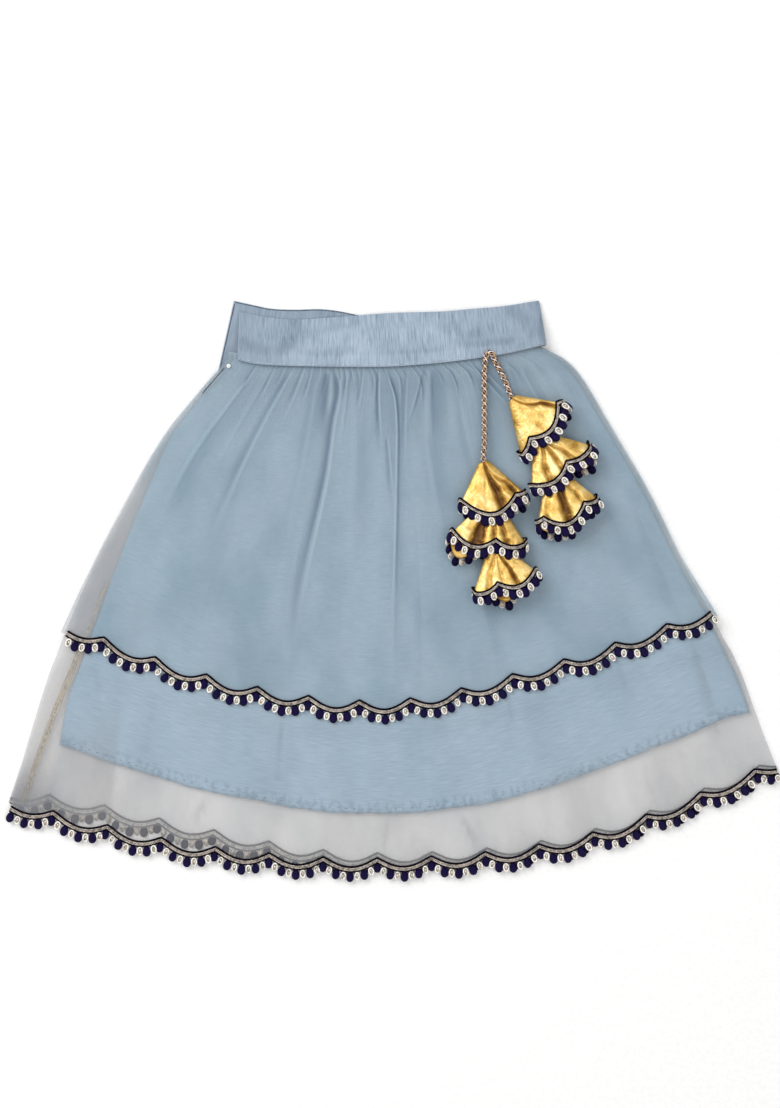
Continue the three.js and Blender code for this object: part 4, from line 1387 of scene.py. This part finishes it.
def band_relief(name, u, share):
    """How far a waistband half stands out of its even form, and how deep its dents are, which the silk
    paints as shade.
    """
    if name == "back":
        # The back half keeps its even form: its value is only a painted shade near its left end.
        return 0.0, 0.25 * ease((0.06 - u) / 0.03) * float(ease((0.75 - share) / 0.2))
    near_seam = float(ease(1 - share / 0.3))
    ripple = unevenness(u * 42, np.full_like(u, share * 1.2), 1, 2.0)
    broad = unevenness(u * 11, np.full_like(u, share * 0.8), 1, 9.0)
    inside = ease(u / 0.05) * ease((1 - u) / 0.05)
    dents = band_dents(u, share)
    strip = 0.5 * float(ease((BAND_STRIP + 0.03 - share) / 0.05))
    return (0.35 * near_seam * ripple + 0.3 * broad - dents) * inside + strip, dents


def band_point(name, u, share, out):
    """Points of a waistband half, and its dents: share 0 at its seam and 1 at its top edge."""
    band = BANDS[name]
    side, top, bottom = band["side"], band["top"], band["bottom"]
    low = underside("upper_front", 0) + CLOTH + 2 * GAP
    slope = float(ease((share - BAND_FLAT_SHARE) / (1 - BAND_FLAT_SHARE)))
    rest = mix(low, BAND + GAP, slope)
    flat = (rest if side > 0 else 0) + BAND / 2
    half = (BAND + rest) / 2
    left_x = mix(bottom["left_x"], top["left_x"], share)
    right_x = mix(bottom["right_x"], top["right_x"], share) - BAND / 2
    x = mix(left_x, right_x, u)
    low_y, high_y = (through(edge["across"], edge["heights"], u) for edge in (bottom, top))
    y = mix(low_y, high_y, share)
    angle = np.arcsin(np.clip(1 - (right_x - x) / BAND_CURL, 0, 1))
    rise, dents = band_relief(name, u, share)
    z = mix(half + side * GAP / 2, flat, np.cos(angle)) + rise
    normal = np.stack([np.sin(angle), 0 * u, side * np.cos(angle)], -1)
    return np.stack([x, y, z], -1) + normal * out, dents


def band_half(name, columns, rows, material):
    """One half of the waistband: a closed wall with soft edges."""
    u = np.concatenate([np.linspace(0, 0.97, columns), 1 - 0.03 * (1 - np.linspace(0.2, 1, 10))])
    shares = np.linspace(1, 0, rows)
    out = BAND / 2 - 0.1
    outer = [band_point(name, u, share, out) for share in shares]
    inner = [band_point(name, u, share, -out)[0] for share in shares]
    points, faces = wall(np.array([row[0] for row in outer]), np.array(inner), BANDS[name]["side"] < 0)
    dents = np.concatenate([row[1] for row in outer])
    uv = np.array([(mix(-0.13, 0.13, v), share * 0.045) for share in shares for v in u])
    made = new_piece(
        "waistband_%s_silk" % name,
        world(points),
        faces,
        material,
        uv=np.concatenate([uv, uv + (0.3, 0)]),
        crowd=np.tile(dents, 2),
    )
    rounded = made.modifiers.new("soft edge", "BEVEL")
    rounded.width = 0.0005
    rounded.segments = 2
    rounded.limit_method = "ANGLE"
    return sewn_on(made, "waistband_" + name)


# ------------------------------------------------------------------------------------------------
# Lace.


def lengths_along(points):
    """How far along a line each of its points is."""
    return np.concatenate([[0], np.cumsum(np.linalg.norm(np.diff(points, axis=0), axis=1))])


def line_length(points):
    return float(np.linalg.norm(np.diff(points, axis=0), axis=1).sum())


def unit(vectors):
    return vectors / np.linalg.norm(vectors, axis=1)[:, None]


def quarter_turn(way):
    """Directions in the skirt's plane, turned clockwise by a quarter."""
    return np.stack([way[:, 1], -way[:, 0], 0 * way[:, 0]], -1)


def downward(points, face=(0, 0, 1)):
    """A path through points in metres, from which things hang straight down the skirt."""
    shape = (len(points), 3)
    return points, np.broadcast_to((0, -1, 0), shape), np.broadcast_to(face, shape)


def at_places(path, places):
    """A path's points, hang and face, read at places from 0 to 1 along its length."""
    lengths = lengths_along(path[0])
    at = np.asarray(places) * lengths[-1]
    return tuple(
        np.stack([np.interp(at, lengths, part[:, k]) for k in range(3)], -1) for part in path
    )


def hem_line(layer, hem, shares):
    """Points of a scalloped hem on its layer's outer face, with the way that lace hangs there."""
    start = LAYERS[layer]["bend"] / plan_line(hem)["width"] if hem < LINING_HEM else 0.0

    def scalloped(at, part):
        points, face, _ = surface(layer, hem, mix(start, 1 - start, at), CLOTH / 2)
        points[:, 1] -= part * scallop_drop(at, EDGES[layer])
        return points, face

    shares = np.asarray(shares, float)
    ahead, behind = (scalloped(np.clip(shares + step, 0, 1), 0.45)[0] for step in (0.004, -0.004))
    points, face = scalloped(shares, 1.0)
    return world(points), unit(quarter_turn(ahead - behind)), face


def hem_paths(layer, hem):
    """The whole edge, and the places of its dark and its metal drops. A dark drop is at each cusp."""
    edge = EDGES[layer]
    total = edge["scallops"] * DROPS_PER_SCALLOP
    first = edge["first"] * DROPS_PER_SCALLOP % 2
    dark = np.arange(first, total, 2) / total
    metal = np.arange((first + 1) % 2, total, 2) / total
    whole = np.linspace(0, 1, round(total * 1.5))
    cusps = np.arange(edge["first"] % 1, edge["scallops"], 1) / edge["scallops"]
    whole = np.unique(np.concatenate([whole, cusps]))
    return [hem_line(layer, hem, shares) for shares in (whole, dark, metal)]


def braid_ground(name, path, top, foot, *sides):
    """The flat woven ground of a braid: a thin closed strip along a path, with a paler back."""
    points, hang, face = path
    inner = np.array([points + hang * (place * MM) + face * (BRAID_LIFT * MM) for place in (top, foot)])
    outer = inner + face * (BRAID_THICK * MM)
    made = new_piece(name, *wall(outer, inner, float(face[0][2]) < 0), *sides, smooth=False)
    columns = len(points) - 1
    for back in made.data.polygons[columns : 2 * columns]:
        back.material_index = 1
    return made


def lace_row(name, node, paths, box, scale=1.0):
    """Lace along a path: two dark cords, a braid of slanting stitches, and drops below it."""
    path, dark, metal = paths
    count = round(line_length(path[0]) / (BRAID_STITCH_STEP * scale * MM))
    top, foot = BRAID_TOP * scale, BRAID_FOOT * scale
    pieces = [braid_ground(name, path, top, foot, box.finish["zari_ground"], box.finish["lace_back"])]
    for hang, thick in ((top, 1.9), (foot, 1.5)):
        pieces.append(box.corded("edge cord", path, "edge_cord", thick * scale, hang, 0.85))
    for sign in (-1, 1):
        hang = (top + foot) / 2 + sign * 0.8 * scale
        chance = {"Unevenness": 0.08, "Seed": 5 + sign}
        pieces.append(
            box.stitched("zari", path, "braid_stitch", "zari", count, hang, 0.62, sign * 42, **chance)
        )
    for shape, material, at, reach in (
        ("drop", "indigo", dark, 3.1),
        ("loop_ground", "silver_ground", metal, 2.6),
        ("loop", "silver", metal, 2.6),
    ):
        chance = {"Unevenness": 0.06, "Seed": 11}
        pieces.append(
            box.stitched(shape, at, shape, material, hang=reach * scale, lift=0.3, **chance)
        )
    return sewn_on(joined(name, pieces), node)


# ------------------------------------------------------------------------------------------------
# Tassels.

TASSEL_FLOOR = underside("upper_front", 100) + CLOTH + NET_FOLD_RISE + GAP


def tier_base(level):
    return TASSEL_FLOOR + level * TIER_STEP


def mouth_wave(tier, across):
    """How far a tier's scalloped mouth reaches past its even line, at places from 0 to 1."""
    return scallop((across - tier["cusp"]) / tier["pitch"])


def tier_dent(tier, share, place, front):
    """How deep each point of a tier lies in a crease."""
    dent = np.zeros_like(place)
    for at, deep, spread in tier["creases"]:
        line = mix(0.5, at, min(share * 1.8, 1))
        dent = np.maximum(dent, deep * front * trough(place - line, spread + 0.04 * (1 - share)))
    for at, deep in ((0.3, 1.0), (0.75, 1.2)):
        dent = np.maximum(dent, deep * (1 - front) * trough(place - at, 0.12))
    return dent * min(1, 0.3 + 1.4 * share)


def crumpled(tier, points, share):
    """The unevenness of the stiff gold cloth."""
    seed = 3.0 + 10 * tier["level"] + (5 if tier["turn"] > 20 else 0)
    places = [Vector((a / 9, b / 9, seed)) for a, b, _ in points]
    ridges = np.array([1 - 2 * abs(noise.noise(place)) for place in places])
    return min(1, 0.2 + share) * ridges


def tier_length(tier, share, sine, place, front):
    """How far from the neck each point of a tier lies."""
    behind = sum(reach * trough(place - at, spread) for at, spread, reach in tier["behind"])
    back = np.clip(-sine * 2, 0, 1) * (behind + 1.2 * np.sin(place * 17))
    wave = mouth_wave(tier, place) * front + back
    shape = tier["bulge"] * sine**2 + tier["slant"] * (0.5 - place) + wave * share
    return (tier["long"] + shape) * share


def tier_point(tier, share, around, past=0.0, out=0.0):
    """Points on a tier: share runs from neck to mouth, and around once round it, from 0 to 1."""
    angle = -math.tau * np.asarray(around, float)
    sine, cosine = np.sin(angle), np.cos(angle)
    wide = mix(NECK, tier["mouth"], share)
    tall = mix(NECK, tier["tall"], share)
    place = (cosine + 1) / 2
    front = np.clip(sine * 3, 0, 1)
    dent = tier_dent(tier, share, place, front) * np.clip(np.abs(sine) * 1.6, 0, 1)
    up = np.sign(sine) * (tall / 2 * np.abs(sine) ** 0.6 - dent)
    along = tier_length(tier, share, sine, place, front) + past
    turn = math.radians(tier["turn"])
    forward = np.array((math.sin(turn), -math.cos(turn), 0))
    sideways = np.array((math.cos(turn), math.sin(turn), 0))
    neck = np.array((*tier["neck"], tier_base(tier["level"]) + tall / 2))
    points = neck + along[:, None] * forward + (wide / 2 * cosine)[:, None] * sideways
    crumple = crumpled(tier, points, share) * front
    points[:, 2] += up + 0.5 * crumple - 0.3 * front
    normal = unit((cosine / wide)[:, None] * sideways + (sine / tall)[:, None] * np.array((0, 0, 1)))
    # The third value is painted on the gold: shade in the creases, and a highlight on crumpled ridges.
    return points + normal * out, normal, dent / 3 - 0.3 * (crumple - 0.5)


def tassel_tier(tier, material):
    """One cone of gold cloth, open at its mouth and its neck."""
    around = np.arange(128) / 128
    shares = np.linspace(0, 1, 34)
    outer = [tier_point(tier, share, around) for share in shares]
    inner = [tier_point(tier, share, around, out=-0.6)[0] for share in shares]
    points, faces = wall(np.array([row[0] for row in outer]), np.array(inner), ring=True)
    crowd = np.tile(np.concatenate([row[2] for row in outer]), 2)
    made = new_piece("tassel_%s_gold" % tier["name"], world(points), faces, material, crowd=crowd)
    return sewn_on(made, "tassel_cone_" + tier["name"])


def tier_lace(tier, box):
    """Lace round the mouth of a tier."""
    around = np.linspace(0.5, 1.5, 181)
    points, normal, _ = tier_point(tier, 1.0, around, 0.6)
    beyond = tier_point(tier, 1.0, around, 2.6)[0]
    wider = tier_point({**tier, "mouth": tier["mouth"] + 1.6}, 1.0, around, 2.6)[0]
    path = (world(points), unit(0.5 * (beyond + wider) - points), normal)
    drops = 2 * round(line_length(path[0]) / (2 * TASSEL_DROP_STEP * MM))
    places = (np.arange(drops) + 0.5) / drops
    paths = (path, at_places(path, places[::2]), at_places(path, places[1::2]))
    name = tier["name"]
    return lace_row("tassel_%s_lace" % name, "tassel_lace_" + name, paths, box, TASSEL_LACE_SCALE)


# ------------------------------------------------------------------------------------------------
# Cord.

BAND_TOP = underside("upper_front", 0) + CLOTH + BAND + 3 * GAP + CORD_DIAMETER / 2
OVER_NET = TASSEL_FLOOR + CORD_DIAMETER / 2 + 0.8


def neck_middle(level):
    return tier_base(level) + NECK / 2


CORD_ROUTES = {
    "left": [
        (81.4, 9.6, BAND_TOP),
        (80.4, 4, BAND_TOP),
        (79.9, -6, BAND_TOP - 0.4),
        (79.9, -24, OVER_NET + 0.6),
        (79.9, -44, OVER_NET),
        (79.9, -62, OVER_NET + 1),
        (79, -80.5, neck_middle(1)),
        (82.4, -97, neck_middle(1.5)),
        (86, -112, neck_middle(2)),
        (87, -131, neck_middle(2.5)),
        (87.6, -149.6, neck_middle(3)),
        (89, -158, neck_middle(3)),
    ],
    "right": [
        (87.4, 8.4, BAND_TOP),
        (89.6, 3, BAND_TOP),
        (94, -5, BAND_TOP - 0.4),
        (98.8, -15.5, OVER_NET + 1.2),
        (103, -27, neck_middle(1)),
        (113, -42, neck_middle(1.5)),
        (124, -57, neck_middle(2)),
        (131, -69, neck_middle(2.5)),
        (136.5, -85, neck_middle(3)),
        (138.8, -93, neck_middle(3)),
    ],
}

# The cord's bend over the waist seam, between the tops of its two strands.
CORD_BEND = [
    (81.4, 9.6, BAND_TOP),
    (81.9, 10.8, BAND_TOP),
    (83.0, 11.7, BAND_TOP),
    (84.5, 11.9, BAND_TOP + 0.2),
    (86.0, 11.1, BAND_TOP),
    (87.0, 9.9, BAND_TOP),
    (87.4, 8.4, BAND_TOP),
]


def smooth_route(route, steps=14):
    """A smooth line through a route's points."""
    points = np.asarray(route, float)
    lengths = lengths_along(points)
    fine = np.linspace(0, lengths[-1], steps * (len(route) - 1))
    return np.stack([through(lengths, points[:, k], fine) for k in range(3)], -1)


def plait(name, node, route, box):
    """A round plait of gold, copper and white plies along a route."""
    length = line_length(route)
    path = downward(route)
    plies = []
    for material, direction, phase in (
        ("gold_ply", 1, 0.0),
        ("copper_ply", 1, 0.25),
        ("white_ply", -1, 0.0),
        ("gold_ply", -1, 0.25),
    ):
        values = {
            "Plies": 2,
            "Turns": direction * length / PLY_TURN,
            "Phase": phase,
            "Radius": CORD_DIAMETER * 0.345 * MM,
            "Weave": 0.34 * MM,
            "Over and under": 4.0 * direction,
            "Thickness": 1.14 * MM,
            "Count": round(length / PLY_STEP),
            "Material": box.finish[material],
        }
        plies.append(grown("ply", box.plies, path, values))
    plies.append(box.corded("core", path, "cord_core", CORD_DIAMETER * 0.55, sides=8))
    return sewn_on(joined(name, plies), node)


def hanging_cord(side, box):
    """One strand of the cord, from the waist seam down through its tassel's necks."""
    route = world(smooth_route(CORD_ROUTES[side]))
    made = plait("hanging_cord_" + side, "cord_" + side, route, box)
    return made


# ------------------------------------------------------------------------------------------------
# Sewing.


def layer_line(layer, places, out):
    """A path on a layer through (depth, x) places, with its hang and face."""
    points, face = [], []
    for down, x in places:
        left, right = layer_edges(layer, down)
        row, normal, _ = surface(layer, down, np.array([(x - left) / (right - left)]), out)
        points.append(row[0])
        face.append(normal[0])
    points = np.array(points)
    return world(points), quarter_turn(unit(np.gradient(points, axis=0))), np.array(face)


def side_seam(box):
    """The overlocked side seam of the long net: thread that crosses to and fro over a raw edge."""
    places = [
        (down, plan_line(down)["left_x"] + float(column(SIDE_SEAM, "inset", down)))
        for down in np.linspace(228, 417, 90)
    ]
    path = layer_line("long_front", places, -CLOTH)
    pieces = []
    for slant in (-22, 22):
        pieces.append(box.stitched("overlock", path, "zigzag_stitch", "overlock", 120, turn=90 + slant))
    for hang in (-2.0, 2.0):
        pieces.append(box.corded("overlock", path, "overlock", 0.8, hang, 0.1))
    sewn_on(joined("side_seam_thread", pieces))


def lining_hem_stitches(layer, box):
    """Small hand stitches that hold up the lining's hem."""
    points, face, _ = surface(layer, LINING_HEM - 4, np.linspace(0.02, 0.98, 160), CLOTH / 2)
    path = downward(world(points), face)
    name = layer + "_hem_stitches"
    sewn_on(box.stitched(name, path, "fine_stitch", "hem_sewing", 84, turn=64, Unevenness=0.3))


def band_stitches(box):
    """Stitches along the waistband's lower edge."""
    line = band_point("front", np.linspace(0.008, 0.985, 180), 0.035, BAND / 2 - 0.1)[0]
    name, path = "waistband_stitches", downward(world(line))
    sewn_on(box.stitched(name, path, "fine_stitch", "sewing", 104, turn=90, Unevenness=0.03))


def placket_seam(box):
    """A dark line along the opening, round the back band's end and on down the net's fold, that is partly
    its seam and partly a painted shadow along that edge; and a painted shadow line under the fold of the
    back band's top edge.
    """
    end, edge = np.array([0.004]), np.array([0.012])
    band = [band_point("back", end, share, BAND / 2)[0][0] for share in np.linspace(0.96, 0.04, 30)]
    band = np.array(band)
    band[:, 2] = BAND + 0.2
    fold = [surface("upper_front", down, edge, CLOTH / 2 + 0.1)[0][0] for down in range(6, 34, 2)]
    # painted shadow line under the fold along the back band's top edge
    top = band_point("back", np.linspace(0.004, 0.46, 60), 0.985, BAND / 2)[0]
    top[:, 2] = BAND + 0.1
    pieces = []
    for points, thick in ((band, 0.7), (fold, 0.9), (top, 0.7)):
        pieces.append(box.corded("seam", downward(world(points)), "seam", thick))
    sewn_on(joined("placket_seam", pieces))


def snap_half(material):
    """The upper half of a snap fastener: a domed disc with a rim and a knob."""
    top = 1.45
    profile = [(0.34, 1.4), (0.5, 1.0), (0.62, 0.75), (1.25, 0.7), (1.6, 0.55), (1.75, 0.25), (1.75, 0)]
    points, faces = dome([(radius, radius, height) for radius, height in profile], 28, top)
    y = float(plan_y(plan_line(SNAP["depth"]), SNAP["x"]))
    base = underside("upper_front", SNAP["depth"]) + CLOTH + 3 * GAP
    sewn_on(new_piece("snap_half", world(points + (SNAP["x"], y, base)), faces, material), "snap")


# ------------------------------------------------------------------------------------------------
# Floor, light and camera.


def make_table(material):
    corners = [(x * 6.0, y * 6.0, -0.0006) for x, y in ((-1, -1), (1, -1), (1, 1), (-1, 1))]
    new_piece("table", corners, [(0, 1, 2, 3)], material, smooth=False)


def softbox(name, place, size, power):
    """A square light that faces the middle of the table."""
    light = bpy.data.lights.new(name, "AREA")
    light.shape = "SQUARE"
    light.size = size
    light.energy = power
    made = new_object(name, light)
    made.location = place
    made.rotation_euler = (-Vector(place)).to_track_quat("-Z", "Y").to_euler()


def make_light():
    softbox("window", (-1.5, 1.4, 2.2), 1.9, 50)
    softbox("overhead", (0.6, -0.5, 2.9), 2.4, 30)
    studio = bpy.data.worlds.new("studio")
    studio.use_nodes = True
    backdrop = studio.node_tree.nodes["Background"]
    backdrop.inputs["Color"].default_value = (1, 1, 1, 1)
    backdrop.inputs["Strength"].default_value = 0.52
    bpy.context.scene.world = studio
    bpy.context.scene.view_settings.view_transform = "Standard"


def make_camera():
    camera = bpy.data.cameras.new("camera")
    camera.sensor_width = SENSOR
    camera.lens = SENSOR * CAMERA_HEIGHT / FRAME_TALL
    made = new_object("camera", camera)
    x, y = FRAME_MIDDLE
    made.location = (PLACE.x + x * MM, PLACE.y + y * MM, CAMERA_HEIGHT)
    bpy.context.scene.camera = made


# ------------------------------------------------------------------------------------------------


def make_tassels(box):
    hung = {"left": [], "right": []}
    for tier in TIERS:
        on_side = hung[tier["name"].split("_")[0]]
        on_side.append(tassel_tier(tier, box.finish["lame"]))
        on_side.append(tier_lace(tier, box))
    hung["left"].append(plait("hanging_cord_bend", None, world(smooth_route(CORD_BEND)), box))
    for side, pieces in hung.items():
        hanging_cord(side, box)


def make_sheets(box):
    """The nets, the linings and the waistband."""
    for cloth, hem, flat, area, front, back in (
        ("upper", UPPER_HEM, (0.56, 0.31), 0.13, (440, 1.6), (200, 4)),
        ("long", HEM, (0.66, 0.44), 0.2, (240, 3), (200, 4)),
    ):
        for side, fineness in (("front", front), ("back", back)):
            name = "%s_net_%s" % (cloth, side)
            material = box.finish[cloth + "_net"]
            made = net_layer(name, "%s_%s" % (cloth, side), hem, *fineness, material)
    for side in ("front", "back"):
        made = lining_layer("lining_" + side, 150, 4, box.finish["lining"])
    for side in ("front", "back"):
        made = band_half(side, 150, 24, box.finish["silk"])


def make_laces(box):
    for name, layer, hem in (("upper", "upper", UPPER_HEM), ("hem", "long", HEM)):
        for side in ("front", "back"):
            node = "%s_lace_%s" % (name, side)
            lace_row(node + "_border", node, hem_paths("%s_%s" % (layer, side), hem), box)


def main():
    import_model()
    find_place()
    make_camera()
    box = Workbox()
    make_tassels(box)
    make_sheets(box)
    make_laces(box)
    side_seam(box)
    lining_hem_stitches("lining_front", box)
    lining_hem_stitches("lining_back", box)
    band_stitches(box)
    placket_seam(box)
    snap_half(box.finish["snap"])
    box.put_away()
    make_table(box.finish["table"])
    make_light()


main()
